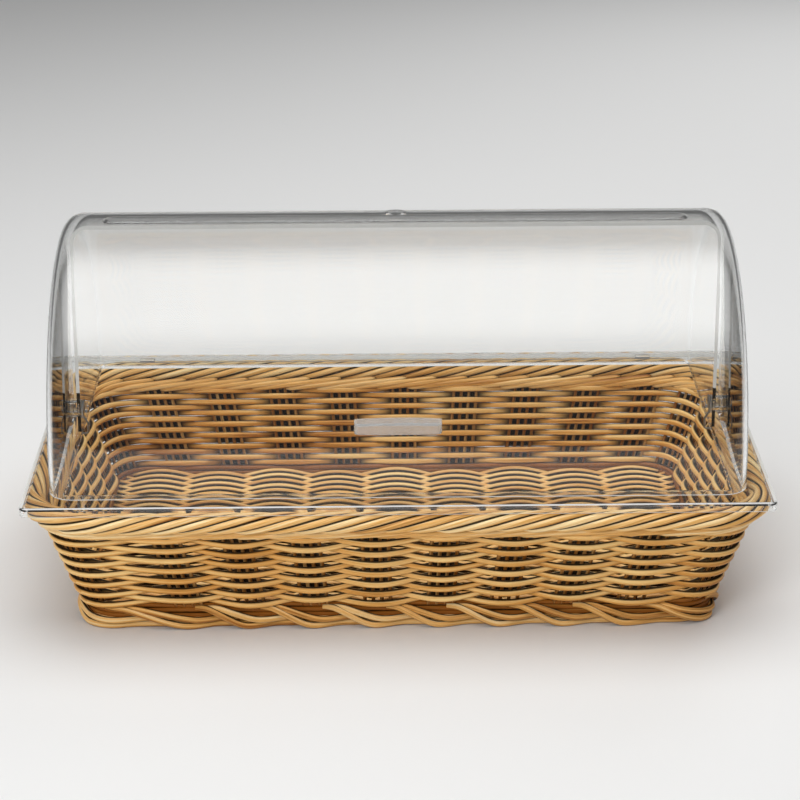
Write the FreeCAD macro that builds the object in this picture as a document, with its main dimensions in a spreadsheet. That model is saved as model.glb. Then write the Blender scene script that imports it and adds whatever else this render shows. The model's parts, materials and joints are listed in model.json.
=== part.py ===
"""Countertop bread bin: a woven basket under a clear roll-top cover.

Millimetres, +Z up, front towards -Y, length along X. The origin is on the table under the
middle of the basket. The cover's two shells turn about one axis that runs along X.
"""
import FreeCAD, Part
import math
import os
import Sketcher
from FreeCAD import Rotation, Vector

doc = FreeCAD.newDocument("bread_bin")

DRIVING_SIZES = {
    # Basket outline, measured to the middle of the woven wall
    "foot_half_length": 227.0,
    "foot_half_width": 133.0,
    "foot_corner": 28.0,
    "rim_half_length": 258.0,
    "rim_half_width": 155.0,
    "rim_corner": 42.0,
    # Basket levels
    "basket_height": 98.0,
    "foot_height": 16.0,
    "floor_level": 13.0,
    # Strands and stakes
    "strand": 4.6,
    "stake": 3.0,
    "stake_pitch": 6.1,
    "stake_group_half": 11.0,
    "weave_play": 0.1,
    "weave_belly": 0.6,
    "weave_margin": 2.5,
    # Rolled border round the rim, and the loops of the foot
    "border_height": 16.4,
    "border_half_thick": 8.0,
    "border_out": 4.5,
    "border_crest": 0.9,
    "foot_inset": 1.5,
    "foot_cross": 5.0,
    "floor_corner_ease": 8.0,
    # Flange of the cover
    "flange_half_length": 265.0,
    "flange_half_width": 162.5,
    "flange_thickness": 3.0,
    "flange_round": 6.0,
    "skirt_height": 7.0,
    "skirt_wall": 2.4,
    "window_half_length": 236.0,
    "window_half_width": 137.0,
    # Roll-top shells
    "axis_rise": 14.5,
    "lid_radius": 149.5,
    "lid_half_length": 246.5,
    "hub_half_length": 251.0,
    "hub_radius": 14.0,
    "shell_wall": 2.5,
    "shell_gap": 1.9,
    "end_gap": 5.2,
    "shell_round": 18.0,
    "lid_lap": 12.5,
    "lid_lift": 0.5,
    "base_lap": 13.0,
    # Stops for the open lid
    "stop_half_spacing": 200.0,
    "stop_width": 6.0,
    "stop_rise": 1.5,
    "stop_front": 143.5,
    "stop_depth": 6.5,
    # Pivot pins and their spring wires
    "pin_radius": 4.0,
    "pin_play": 0.05,
    "pin_head_radius": 7.0,
    "pin_head": 2.0,
    "pin_tail": 4.0,
    "wire_radius": 0.8,
    "clip_inset": 4.0,
    "clip_drop": 1.4,
    "clip_foot": 8.0,
    # Raised bead and gate mark on top of the lid
    "bead_half_length": 212.0,
    "bead_front": 16.0,
    "bead_rear": 4.0,
    "bead_rise": 1.2,
    "bead_end_round": 5.9,
    "gate_radius": 7.5,
    "gate_rear": 2.5,
    # Finger pull, from the cover's axis
    "handle_half_length": 30.5,
    "handle_reach": 5.0,
    "handle_root": 9.0,
    "handle_low": 35.0,
    "handle_high": 44.0,
    "handle_lip": 2.5,
    "handle_round": 4.0,
    "handle_roof": 2.5,
}

ROWS = 14
STAKES_PER_GROUP = 4
# Groups on each side, from the front counter-clockwise: how many, their pitch, their shift
SIDE_GROUPS = [(8, 48.0, 8.0), (6, 39.5, 0.0), (9, 48.4, -7.0), (5, 46.5, 0.0)]
ROPE_RIDGES = 4
ROPE_GROOVE = 0.84
ROPE_STATIONS = 72
FLOOR_BANDS = 7
FLOOR_STICK_GROUPS = 9
FLOOR_PITCH = 47.8
# Steps of a shell's rounded rim, in degrees round its arc
ROUND_STEPS = (0, 30, 60, 90)


def make_sheet():
    """Put each driving size in a cell of its own, under its name."""
    sheet = doc.addObject("Spreadsheet::Sheet", "sizes")
    for row, (name, value) in enumerate(DRIVING_SIZES.items(), start=1):
        sheet.set("A%d" % row, name)
        sheet.set("B%d" % row, str(value))
        sheet.setAlias("B%d" % row, name)
    doc.recompute()
    return sheet


sheet = make_sheet()


def size(terms):
    """Value of a sum such as 'lid_radius - 0.5*shell_wall', read from the sheet."""
    total, sign = 0.0, 1.0
    for word in terms.split():
        if word in "+-":
            sign = -1.0 if word == "-" else 1.0
            continue
        factor, _, name = word.rpartition("*")
        total += sign * float(factor or 1) * getattr(sheet, name)
        sign = 1.0
    return total


def bound(terms):
    """The same sum, written for a property that follows the sheet."""
    words = []
    for word in terms.split():
        factor, times, name = word.rpartition("*")
        words.append(word if word in "+-" else factor + times + "sizes." + name)
    return " ".join(words)


def bind(thing, **sums):
    """Tie properties of a document object to sums of driving sizes."""
    for name, terms in sums.items():
        thing.setExpression(name.replace("__", "."), bound(terms))


# Helpers for outlines and blocks whose sizes follow the sheet


def origin_plane(body, role):
    """One of the body's own three base planes."""
    return next(item for item in body.Origin.OriginFeatures if item.Role == role)


def negated(terms):
    """The same sum with every sign turned."""
    words = terms.split()
    if words[0] not in "+-":
        words.insert(0, "+")
    turned = ["-" if word == "+" else "+" if word == "-" else word for word in words]
    return " ".join(turned[1:] if turned[0] == "+" else turned)


def hold_corner(sketch, edge, across, up):
    """Hold the start of an edge at a place given by two sums; an empty sum is an axis."""
    for terms, kind, axis in ((across, "DistanceX", -2), (up, "DistanceY", -1)):
        if not terms:
            sketch.addConstraint(Sketcher.Constraint("PointOnObject", edge, 1, axis))
            continue
        positive = size(terms) > 0
        ends = (-1, 1, edge, 1) if positive else (edge, 1, -1, 1)
        index = sketch.addConstraint(Sketcher.Constraint(kind, *ends, abs(size(terms))))
        sketch.setExpression("Constraints[%d]" % index, bound(terms if positive else negated(terms)))


def new_sketch(body, name, plane):
    """An empty sketch on one of the body's own planes."""
    sketch = body.newObject("Sketcher::SketchObject", name)
    sketch.AttachmentSupport = [(origin_plane(body, plane), "")]
    sketch.MapMode = "FlatFace"
    return sketch


def add_loop(sketch, corners):
    """Add one closed run of straight edges whose corners follow the sheet."""
    places = [Vector(size(across), size(up), 0) for across, up in corners]
    first = len(sketch.Geometry)
    count = len(places)
    for step in range(count):
        sketch.addGeometry(Part.LineSegment(places[step], places[(step + 1) % count]), False)
    for step in range(count):
        following = first + (step + 1) % count
        sketch.addConstraint(Sketcher.Constraint("Coincident", first + step, 2, following, 1))
    for step, (across, up) in enumerate(corners):
        hold_corner(sketch, first + step, across, up)


def share_of(terms, factor):
    """The same sum with every size in it times a factor."""
    return " ".join(word if word in "+-" else "%.4f*%s" % (factor, word) for word in terms.split())


def rectangle(across, up):
    """Corners of a rectangle about the origin, from its half sizes."""
    left, low = negated(across), negated(up)
    return [(left, low), (across, low), (across, up), (left, up)]


def add_feature(body, kind, name, profile, **sums):
    """Add a feature made from a sketch, with its sizes bound to the sheet."""
    feature = body.newObject(kind, name)
    feature.Profile = profile
    bind(feature, **sums)
    doc.recompute()
    return feature


def new_body(label, level):
    """A body that stands at a level given by a sum."""
    body = doc.addObject("PartDesign::Body", label)
    bind(body, Placement__Base__z=level)
    return body


def block(name, across, along, up):
    """A box between low and high sums on X, Y and Z; an empty sum is nought."""
    box = doc.addObject("Part::Box", name)
    for side, place, (low, high) in zip(("Length", "Width", "Height"), "xyz", (across, along, up)):
        box.setExpression(side, "%s - (%s)" % (bound(high) or "0", bound(low)))
        box.setExpression("Placement.Base." + place, bound(low))
    return box


def rod(name, radius, start, end, level):
    """A round rod along X between two sums, on the middle line at a level."""
    cylinder = doc.addObject("Part::Cylinder", name)
    bind(cylinder, Radius=radius, Placement__Base__x=start, Placement__Base__z=level)
    cylinder.setExpression("Height", "%s - (%s)" % (bound(end), bound(start)))
    cylinder.Placement.Rotation = Rotation(Vector(0, 1, 0), 90)
    return cylinder


def combine(kind, name, first, second):
    """Part::Cut or Part::Common of two objects."""
    result = doc.addObject(kind, name)
    result.Base = first
    result.Tool = second
    return result


def fuse(name, *pieces):
    """One solid from several that touch."""
    result = doc.addObject("Part::MultiFuse", name)
    result.Shapes = list(pieces)
    return result


# The roll-top's two shells: drums turned about the axis, hollowed and cut to a quarter

AXIS = "basket_height + skirt_height + axis_rise"
FLANGE_TOP = "basket_height + skirt_height"
FAR = "lid_radius + hub_radius"


def drum(name, reach, radius, rounding, hub_reach=None):
    """A closed drum with a stepped round at each rim; its ends are flat, or coned to a hub."""
    rim = []
    for degrees in ROUND_STEPS:
        angle = math.radians(degrees)
        across = reach + " " + negated(share_of(rounding, 1 - math.cos(angle)))
        rim.append((across, radius + " " + negated(share_of(rounding, 1 - math.sin(angle)))))
    if hub_reach:
        rim = [(hub_reach, ""), (hub_reach, "hub_radius")] + rim
    else:
        rim = [(reach, "")] + rim
    other_end = [(negated(across), up) for across, up in reversed(rim)]
    body = new_body(name, AXIS)
    section = new_sketch(body, name + "_section", "XZ_Plane")
    add_loop(section, rim + other_end)
    turned = body.newObject("PartDesign::Revolution", name + "_turned")
    turned.Profile = section
    turned.ReferenceAxis = (section, ["H_Axis"])
    turned.Angle = 360.0
    doc.recompute()
    return body


def drum_wall(name, reach, radius, rounding, hub_reach=None):
    """The wall of a drum: one drum less a flat-ended one that is smaller by the wall."""
    outer = drum(name + "_outside", reach, radius, rounding, hub_reach)
    inner_sizes = [terms + " - shell_wall" for terms in (reach, radius, rounding)]
    inner = drum(name + "_inside", *inner_sizes)
    return combine("Part::Cut", name + "_wall", outer, inner)


WIDE = "flange_half_length"
BASE_END = "lid_half_length - shell_wall - end_gap"


def across_cover(name, along, up):
    """A block that reaches past both ends of the cover, between sums on Y and Z."""
    return block(name, ("- " + WIDE, WIDE), along, up)


def raised_details(name):
    """The lid's long bead and the round gate mark, as a skin that rises above its top."""
    bead = new_body(name + "_bead", AXIS)
    sketch = new_sketch(bead, name + "_bead_outline", "XY_Plane")
    add_loop(sketch, [
        ("- bead_half_length", "- bead_front"), ("bead_half_length", "- bead_front"),
        ("bead_half_length", "- bead_rear"), ("- bead_half_length", "- bead_rear"),
    ])
    pad = add_feature(bead, "PartDesign::Pad", name + "_bead_pad", sketch, Length=FAR)
    corners = upright_edges(pad.Shape)
    rounded = bead.newObject("PartDesign::Fillet", name + "_bead_ends")
    rounded.Base = (pad, corners)
    bind(rounded, Radius="bead_end_round")
    gate = doc.addObject("Part::Cylinder", name + "_gate")
    bind(gate, Radius="gate_radius", Height=FAR, Placement__Base__y="gate_rear",
         Placement__Base__z=AXIS)
    skin = combine("Part::Cut", name + "_skin",
                   rod(name + "_skin_outside", "lid_radius + bead_rise", "- " + WIDE, WIDE, AXIS),
                   rod(name + "_skin_inside", "lid_radius - bead_rise", "- " + WIDE, WIDE, AXIS))
    return combine("Part::Common", name, skin, fuse(name + "_outline", bead, gate))


def upright_edges(shape, wanted=lambda place: True):
    """Names of a shape's vertical edges whose middle is wanted."""
    names = []
    for number, edge in enumerate(shape.Edges, start=1):
        first, last = edge.Vertexes[0].Point, edge.Vertexes[-1].Point
        if abs(first.x - last.x) + abs(first.y - last.y) < 1e-6 and wanted(first):
            names.append("Edge%d" % number)
    return names


def build_lid():
    """Outer shell: covers the front, laps a little past the top, and turns back over the base."""
    wall = drum_wall("lid", "lid_half_length", "lid_radius", "shell_round", "hub_half_length")
    above = across_cover("lid_above", (negated(FAR), "lid_lap"), (AXIS, AXIS + " + " + FAR))
    front = block("lid_front", ("- " + WIDE, WIDE), (negated(FAR), ""), (FLANGE_TOP + " + lid_lift", AXIS))
    hub = rod("lid_hub", "hub_radius", "- " + WIDE, WIDE, AXIS)
    quarter = combine("Part::Common", "lid_quarter", wall, fuse("lid_region", above, front, hub))
    solid = fuse("lid_with_bead", quarter, raised_details("lid_raised"))
    bore = rod("lid_bore", "pin_radius + pin_play", "- " + WIDE, WIDE, AXIS)
    return combine("Part::Cut", "roll_lid", solid, bore)


def build_handle():
    """Finger pull on the lid's front: a shelf with a lip turned down and closed ends."""
    body = new_body("handle_block", AXIS)
    inside = "- lid_radius + handle_root"
    outside = "- lid_radius - handle_reach"
    side = new_sketch(body, "handle_side", "YZ_Plane")
    add_loop(side, [
        (outside, "handle_low"), (inside, "handle_low"), (inside, "handle_high"),
        (outside, "handle_high"),
    ])
    pad = add_feature(body, "PartDesign::Pad", "handle_pad", side,
                      Length="handle_half_length + handle_half_length")
    pad.Midplane = True
    doc.recompute()
    ends = body.newObject("PartDesign::Fillet", "handle_corners")
    ends.Base = (pad, upright_edges(pad.Shape, lambda place: place.y < size("- lid_radius")))
    bind(ends, Radius="handle_round")
    doc.recompute()
    scoop = new_sketch(body, "handle_scoop_side", "YZ_Plane")
    lip = outside + " + handle_lip"
    roof = "handle_high - handle_roof"
    add_loop(scoop, [(lip, "handle_low - handle_lip"), (inside, "handle_low - handle_lip"),
                     (inside, roof), (lip, roof)])
    pocket = add_feature(body, "PartDesign::Pocket", "handle_scoop", scoop,
                         Length="handle_half_length + handle_half_length - handle_lip - handle_lip")
    pocket.Midplane = True
    doc.recompute()
    seat = rod("handle_seat", "lid_radius", "- " + WIDE, WIDE, AXIS)
    return combine("Part::Cut", "lid_handle", body, seat)


def build_flange():
    """Flat rim round the cover's window, with a skirt turned down along its outer edge."""
    body = new_body("flange", "basket_height")
    plan = new_sketch(body, "flange_plan", "XY_Plane")
    add_loop(plan, rectangle("flange_half_length", "flange_half_width"))
    add_loop(plan, rectangle("window_half_length", "window_half_width"))
    pad = add_feature(body, "PartDesign::Pad", "flange_pad", plan, Length="skirt_height")
    corners = body.newObject("PartDesign::Fillet", "flange_corners")
    outer = size("window_half_length") + 1.0
    corners.Base = (pad, upright_edges(pad.Shape, lambda place: abs(place.x) > outer))
    bind(corners, Radius="flange_round")
    doc.recompute()
    under = new_sketch(body, "flange_under", "XY_Plane")
    add_loop(under, rectangle("flange_half_length - skirt_wall", "flange_half_width - skirt_wall"))
    pocket = add_feature(body, "PartDesign::Pocket", "flange_hollow", under,
                         Length="skirt_height - flange_thickness")
    pocket.Reversed = True
    doc.recompute()
    return body


def build_stop(name, middle):
    """Small block behind the rear shell on which the open lid comes to rest."""
    return block(name, (middle + " - stop_width", middle + " + stop_width"),
                 ("stop_front", "stop_front + stop_depth"),
                 (FLANGE_TOP + " - stop_rise", FLANGE_TOP + " + stop_rise"))


def build_cover_base():
    """Fixed rear shell on its flange, with a spacer boss for the lid at each end."""
    radius = "lid_radius - shell_wall - shell_gap"
    wall = drum_wall("base", BASE_END, radius, "shell_round - shell_wall - shell_gap")
    region = across_cover("base_region", ("- base_lap", FAR),
                          (FLANGE_TOP + " - skirt_wall", AXIS + " + " + FAR))
    shell = combine("Part::Common", "base_shell", wall, region)
    boss_end = "lid_half_length - shell_wall - pin_play - pin_play"
    boss_start = BASE_END + " - shell_wall"
    pieces = [shell, build_flange()]
    pieces.append(rod("boss_right", "pin_head_radius", boss_start, boss_end, AXIS))
    pieces.append(rod("boss_left", "pin_head_radius", negated(boss_end), negated(boss_start), AXIS))
    pieces.append(build_stop("stop_right", "stop_half_spacing"))
    pieces.append(build_stop("stop_left", "- stop_half_spacing"))
    bore = rod("base_bore", "pin_radius", "- " + WIDE, WIDE, AXIS)
    return combine("Part::Cut", "cover_base", fuse("base_solid", *pieces), bore)


def build_pin(name, side):
    """Headed pin: its shank turns in the lid and is pressed into the base's boss."""
    tail = BASE_END + " - shell_wall - pin_tail"
    neck = "hub_half_length + pin_play + pin_play"
    ends = [(tail, neck + " + pin_play"), (neck, neck + " + pin_head")]
    if side < 0:
        ends = [(negated(high), negated(low)) for low, high in ends]
    shank = rod(name + "_shank", "pin_radius", *ends[0], AXIS)
    head = rod(name + "_head", "pin_head_radius", *ends[1], AXIS)
    return fuse(name, shank, head)


def build_pins():
    """The two pivot pins, one at each end, as a group of separate solids."""
    pins = doc.addObject("Part::Compound", "pivot_pins")
    pins.Links = [build_pin("pin_left", -1), build_pin("pin_right", 1)]
    return pins


# Wire clips: a loop over each pin's tail, one leg through the window and under the flange


def bent_wire(corners, radius):
    """A thin six-sided wire along a run of corners, each cut across at half the turn."""
    sections = []
    for number, corner in enumerate(corners):
        before, after = corners[max(number - 1, 0)], corners[min(number + 1, len(corners) - 1)]
        back = (corner - before).normalize() if number else (after - corner).normalize()
        on = (after - corner).normalize() if number < len(corners) - 1 else back
        along = (back + on).normalize()
        across = Vector(0, 1, 0).cross(along)
        side = Vector(0, 1, 0) if across.Length > 0.5 else Vector(1, 0, 0)
        first = along.cross(side).normalize()
        second = first.cross(along)
        turns = [math.pi * step / 3 for step in range(6)]
        sections.append([corner + first * (radius * math.cos(a)) + second * (radius * math.sin(a))
                         for a in turns])
    return run_solid(sections, False)


def clip_wire(side):
    """Spring wire that keeps one pin in the base, on the left (-1) or right (1)."""
    wire = size("wire_radius")
    axis = size(AXIS)
    loop = size("pin_radius + pin_play") + wire
    wall = size(BASE_END + " - shell_wall - pin_play") - wire
    inside = size("window_half_length - clip_inset")
    under = size(FLANGE_TOP + " - flange_thickness - clip_drop")
    corners = [
        (wall, loop, axis - loop / 2), (wall, loop, axis + loop), (wall, -loop, axis + loop),
        (wall, -loop, axis - loop), (inside, -loop, axis - 2.2 * loop),
        (inside, -loop, under), (inside + size("clip_foot"), -loop, under),
    ]
    return bent_wire([Vector(side * x, y, z) for x, y, z in corners], wire)


# The woven basket. A strand is a run of ridged sections joined by flat triangles.


def ring_half_sizes(level):
    """Half length, half width and corner radius of the wall's middle line at a level."""
    low = size("foot_height")
    share = (level - low) / (size("basket_height") - low)
    pairs = (("foot_half_length", "rim_half_length"), ("foot_half_width", "rim_half_width"),
             ("foot_corner", "rim_corner"))
    return [size(foot) + share * (size(rim) - size(foot)) for foot, rim in pairs]


def side_length(side, level):
    """Distance along the wall from the middle of one corner to the middle of the next."""
    half_length, half_width, corner = ring_half_sizes(level)
    half = (half_length, half_width)[side % 2]
    return 2 * (half - corner) + corner * math.pi / 2


def ring_place(side, along, level):
    """Point and outward direction at a distance along one side of the wall."""
    half_length, half_width, corner = ring_half_sizes(level)
    half, depth = ((half_length, half_width), (half_width, half_length))[side % 2]
    bend, straight = corner * math.pi / 4, 2 * (half - corner)
    if along < bend:
        across, angle = corner - half, (along - bend) / corner
    elif along > bend + straight:
        across, angle = half - corner, (along - bend - straight) / corner
    else:
        across, angle = along - bend - (half - corner), 0.0
    across += corner * math.sin(angle)
    out = depth - corner + corner * math.cos(angle)
    turn = Rotation(Vector(0, 0, 1), 90 * side)
    place = turn.multVec(Vector(across, -out, level))
    return place, turn.multVec(Vector(math.sin(angle), -math.cos(angle), 0))


def group_places():
    """Side and share of that side's length for every group of stakes, corners first."""
    level = size("basket_height + foot_height") / 2
    places = []
    for side, (count, pitch, shift) in enumerate(SIDE_GROUPS):
        length = side_length(side, level)
        places.append((side, 0.0))
        for number in range(count):
            offset = (number - (count - 1) / 2) * pitch + shift
            places.append((side, 0.5 + offset / length))
    return places


def wall_frame(side, share, offset, level):
    """Point on the wall's middle surface, its outward normal and its upward slope."""
    low, high = size("foot_height"), size("basket_height")
    foot, rim = (
        ring_place(side, share * side_length(side, end) + offset, end) for end in (low, high)
    )
    slope = (rim[0] - foot[0]).normalize()
    place = foot[0] + (rim[0] - foot[0]) * ((level - low) / (high - low))
    outward = foot[1] - slope * foot[1].dot(slope)
    return place, outward.normalize(), slope


def run_solid(sections, closed):
    """Solid along a run of matching sections: triangles between them, flat ends if open."""
    corners = len(sections[0])
    points = [tuple(point) for section in sections for point in section]
    count = len(sections)
    facets = []
    for step in range(count if closed else count - 1):
        near, far = step * corners, (step + 1) % count * corners
        for corner in range(corners):
            after = (corner + 1) % corners
            facets.append((near + corner, near + after, far + corner))
            facets.append((near + after, far + after, far + corner))
    if not closed:
        last = (count - 1) * corners
        for corner in range(1, corners - 1):
            facets.append((0, corner + 1, corner))
            facets.append((last, last + corner, last + corner + 1))
    shell = Part.Shape()
    shell.makeShapeFromMesh((points, facets), 1e-4)
    solid = Part.makeSolid(shell)
    if solid.Volume < 0:
        solid.reverse()
    return solid


def ridge_section(middle, out, across):
    """Three corners of a strand about its middle: a flat back and a ridge towards out."""
    return [middle - out - across, middle + out, middle - out + across]


def add_piece(name, solids):
    """Keep one solid, or a group of separate ones, as a named piece."""
    piece = doc.addObject("Part::Feature", name)
    piece.Shape = solids[0] if len(solids) == 1 else Part.makeCompound(solids)
    return piece


def build_weaver_rows():
    """Plain weave: each row passes outside one group of stakes and inside the next."""
    bottom = size("foot_height + weave_margin")
    top = size("basket_height + border_crest - border_height - weave_margin")
    pitch = (top - bottom) / ROWS
    swing = size("strand + stake") / 2 + size("weave_play") + size("weave_belly")
    half_group = size("stake_group_half")
    rows = []
    for row in range(ROWS):
        level = bottom + (row + 0.5) * pitch
        sections = []
        for number, (side, share) in enumerate(group_places()):
            out = swing if (number + row) % 2 == 0 else -swing
            for offset in (-half_group, half_group):
                place, outward, slope = wall_frame(side, share, offset, level)
                half_tall = (pitch / slope.z - size("weave_play")) / 2
                sections.append(ridge_section(place + outward * out, outward * (size("strand") / 2),
                                              slope * half_tall))
        rows.append(add_piece("weaver_row_%02d" % (row + 1), [run_solid(sections, True)]))
    return rows


def build_wall_stakes():
    """Upright stakes in groups, between the strands, from the foot into the border."""
    half, reach = size("stake") / 2, size("stake_group_half")
    top = size("basket_height + border_crest - border_height")
    solids = []
    for side, share in group_places():
        for number in range(STAKES_PER_GROUP):
            offset = (number - (STAKES_PER_GROUP - 1) / 2) * size("stake_pitch")
            across = (offset / reach + 1) / 2
            sections = []
            for level in (size("foot_height"), top):
                # Stakes stand in line between the group's two ends, as the strands pass them
                first, last = (wall_frame(side, share, end, level) for end in (-reach, reach))
                place = first[0] + (last[0] - first[0]) * across
                outward, slope = (first[1] + last[1]).normalize(), (first[2] + last[2]).normalize()
                sections.append(ridge_section(place, outward * half, slope.cross(outward) * half))
            solids.append(run_solid(sections, False))
    return add_piece("wall_stakes", solids)


def build_rim_border():
    """Rolled border: a thick rope laid round the rim, its ridges climbing to the right."""
    half_tall = size("border_height") / 2
    middle_level = size("basket_height + border_crest") - half_tall
    lengths = [side_length(side, middle_level) for side in range(4)]
    corners = 2 * ROPE_RIDGES
    sections = []
    for station in range(ROPE_STATIONS):
        along, side = sum(lengths) * station / ROPE_STATIONS, 0
        while along > lengths[side]:
            along -= lengths[side]
            side += 1
        place, outward = ring_place(side, along, middle_level)
        section = []
        for corner in range(corners):
            turn = 2 * math.pi * (corner + station) / corners
            ridge = 1.0 if corner % 2 == 0 else ROPE_GROOVE
            out = size("border_out") + size("border_half_thick") * ridge * math.cos(turn)
            up = half_tall * ridge * math.sin(turn)
            section.append(place + outward * out + Vector(0, 0, up))
        sections.append(section)
    return add_piece("rim_border", [run_solid(sections, True)])


def gap_after(places, number, level):
    """Side, start and end along it of the stretch from one group of stakes to the next."""
    side, share = places[number % len(places)]
    next_side, next_share = places[(number + 1) % len(places)]
    length = side_length(side, level)
    return side, share * length, (next_share if next_side == side else 1.0) * length


def gap_stations(side, start, finish, level):
    """Places along a gap where the foot's loops turn: both ends, and where a bend begins."""
    margin = size("foot_cross")
    bend = ring_half_sizes(level)[2] * math.pi / 4
    turns = [place for place in (bend, side_length(side, level) - bend)
             if start + margin < place < finish - margin]
    return [start + margin] + turns + [finish - margin]


def build_foot_border():
    """Foot: one flat loop for each group, its tail inside the loop before it."""
    top, half = size("foot_height"), size("strand") / 2
    aside = half + size("weave_play") / 2
    places = group_places()
    solids = []
    for number in range(len(places)):
        sections = []
        for step, out in ((number, -aside), (number + 1, aside)):
            side, start, finish = gap_after(places, step, top)
            for along in gap_stations(side, start, finish, top):
                place, outward = ring_place(side, along, top)
                base = Vector(place.x, place.y, 0) - outward * size("foot_inset")
                low, high = base + outward * (out - half), base + outward * (out + half)
                rise = Vector(0, 0, top)
                sections.append([low, high, high + rise, low + rise])
        solids.append(run_solid(sections, False))
    return add_piece("foot_border", solids)


def floor_reach(across, side):
    """How far the floor reaches from the middle to a side, at a distance off the middle line."""
    inset = size("strand + foot_inset + weave_play")
    halves = (size("foot_half_width") - inset, size("foot_half_length") - inset)
    corner = size("foot_corner + floor_corner_ease") - inset
    depth, half = halves if side == "front" else halves[::-1]
    past = max(0.0, abs(across) - (half - corner))
    return depth - corner + math.sqrt(corner ** 2 - past ** 2)


def build_floor_sticks():
    """Straight sticks across the floor, in groups, between its woven bands."""
    half = size("stake") / 2
    sticks = []
    for group in range(FLOOR_STICK_GROUPS):
        for number in range(STAKES_PER_GROUP):
            x = (group - (FLOOR_STICK_GROUPS - 1) / 2) * FLOOR_PITCH
            x += (number - (STAKES_PER_GROUP - 1) / 2) * size("stake_pitch")
            reach = floor_reach(abs(x) + half, "front")
            low = Vector(x - half, -reach, size("floor_level") - half)
            sticks.append(Part.makeBox(2 * half, 2 * reach, 2 * half, low))
    return add_piece("floor_sticks", sticks)


def build_floor_weave():
    """Strands along the floor, in bands that pass over and under the groups of sticks."""
    half = size("strand") / 2
    swing = size("strand + stake") / 2 + size("weave_play")
    level = size("floor_level")
    width = 2 * floor_reach(0.0, "front") / FLOOR_BANDS
    bands = []
    for band in range(FLOOR_BANDS):
        middle = (band + 0.5 - FLOOR_BANDS / 2) * width
        reach = floor_reach(abs(middle) + width / 2, "end")
        xs, lifts = [-reach], []
        for group in range(FLOOR_STICK_GROUPS):
            x = (group - (FLOOR_STICK_GROUPS - 1) / 2) * FLOOR_PITCH
            if abs(x) + size("stake_group_half") > reach:
                continue
            lift = swing if (group + band) % 2 == 0 else -swing
            xs += [x - size("stake_group_half"), x + size("stake_group_half")]
            lifts += [lift, lift]
        xs.append(reach)
        lifts = [lifts[0]] + lifts + [lifts[-1]]
        top = [Vector(x, 0, level + lift + half) for x, lift in zip(xs, lifts)]
        bottom = [Vector(x, 0, level + lift - half) for x, lift in zip(xs, lifts)]
        outline_points = top + bottom[::-1]
        face = Part.Face(Part.makePolygon(outline_points + outline_points[:1]))
        face.translate(Vector(0, middle - width / 2 + size("weave_play") / 2, 0))
        bands.append(face.extrude(Vector(0, width - size("weave_play"), 0)))
    return add_piece("floor_weave", bands)


def report_sizes(pieces):
    """Say each piece's volume and box, for reading against the real object."""
    for piece in pieces:
        box = piece.Shape.optimalBoundingBox(False)
        print("%-18s %9.0f mm3  %6.1f %6.1f %6.1f .. %6.1f %6.1f %6.1f" % (
            piece.Label, piece.Shape.Volume, box.XMin, box.YMin, box.ZMin,
            box.XMax, box.YMax, box.ZMax))


def check(pieces):
    """Stop unless every object is sound and every piece is closed and valid."""
    for item in doc.Objects:
        if "Invalid" in item.State or "Error" in item.State:
            raise RuntimeError("%s failed: %s" % (item.Name, item.getStatusString()))
    for piece in pieces:
        shape = piece.Shape
        if shape.isNull() or not shape.isValid() or not shape.Solids:
            raise RuntimeError("%s has no valid solid" % piece.Label)


def build_all():
    """Make every piece of the object."""
    pieces = build_weaver_rows()
    pieces += [build_wall_stakes(), build_rim_border(), build_foot_border()]
    pieces += [build_floor_sticks(), build_floor_weave()]
    pieces += [build_cover_base(), build_lid(), build_handle()]
    pieces += [build_pins(), add_piece("pivot_clips", [clip_wire(-1), clip_wire(1)])]
    doc.recompute()
    return pieces


pieces = build_all()
check(pieces)
report_sizes(pieces)
os.makedirs("parts", exist_ok=True)
for piece in pieces:
    piece.Shape.exportStep("parts/%s.step" % piece.Label)
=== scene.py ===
"""Countertop bread bin, dressed: a woven basket under a clear roll-top cover.

Metres, +Z up, front towards -Y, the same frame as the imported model. Strands, borders and shells
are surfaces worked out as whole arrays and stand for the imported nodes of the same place.
"""

import json
import logging
import math
from dataclasses import dataclass, field
from enum import Enum
from typing import Callable, Sequence

import bmesh
import bpy
import numpy as np
from mathutils import Matrix, Vector


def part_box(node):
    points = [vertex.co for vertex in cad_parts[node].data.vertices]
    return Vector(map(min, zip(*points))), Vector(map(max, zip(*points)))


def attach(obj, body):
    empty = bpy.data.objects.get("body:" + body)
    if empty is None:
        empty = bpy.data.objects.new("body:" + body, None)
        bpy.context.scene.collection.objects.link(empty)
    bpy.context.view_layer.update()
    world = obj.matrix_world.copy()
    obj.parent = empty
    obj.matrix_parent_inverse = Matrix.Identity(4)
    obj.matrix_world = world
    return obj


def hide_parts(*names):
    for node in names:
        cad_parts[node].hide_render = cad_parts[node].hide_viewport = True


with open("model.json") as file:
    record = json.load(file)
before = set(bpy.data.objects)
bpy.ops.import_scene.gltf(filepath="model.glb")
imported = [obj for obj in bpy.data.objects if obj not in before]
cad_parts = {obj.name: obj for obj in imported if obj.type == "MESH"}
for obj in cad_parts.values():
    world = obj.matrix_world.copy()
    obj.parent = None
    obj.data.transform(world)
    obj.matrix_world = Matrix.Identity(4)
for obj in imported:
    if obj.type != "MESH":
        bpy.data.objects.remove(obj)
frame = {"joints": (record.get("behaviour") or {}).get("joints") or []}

LOG = logging.getLogger("bread_bin")
MM = 0.001

Array = np.ndarray
Colour = tuple[float, float, float]
Place = tuple[float, float, float]
Range = tuple[float, float]

UP = np.array([0.0, 0.0, 1.0])
# How far apart the grain of neighbouring strands starts, in metres
GRAIN_SHIFT = 1.7
# Steps of a quarter bend of a moulding's outline
CORNER_STEPS = 8
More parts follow.
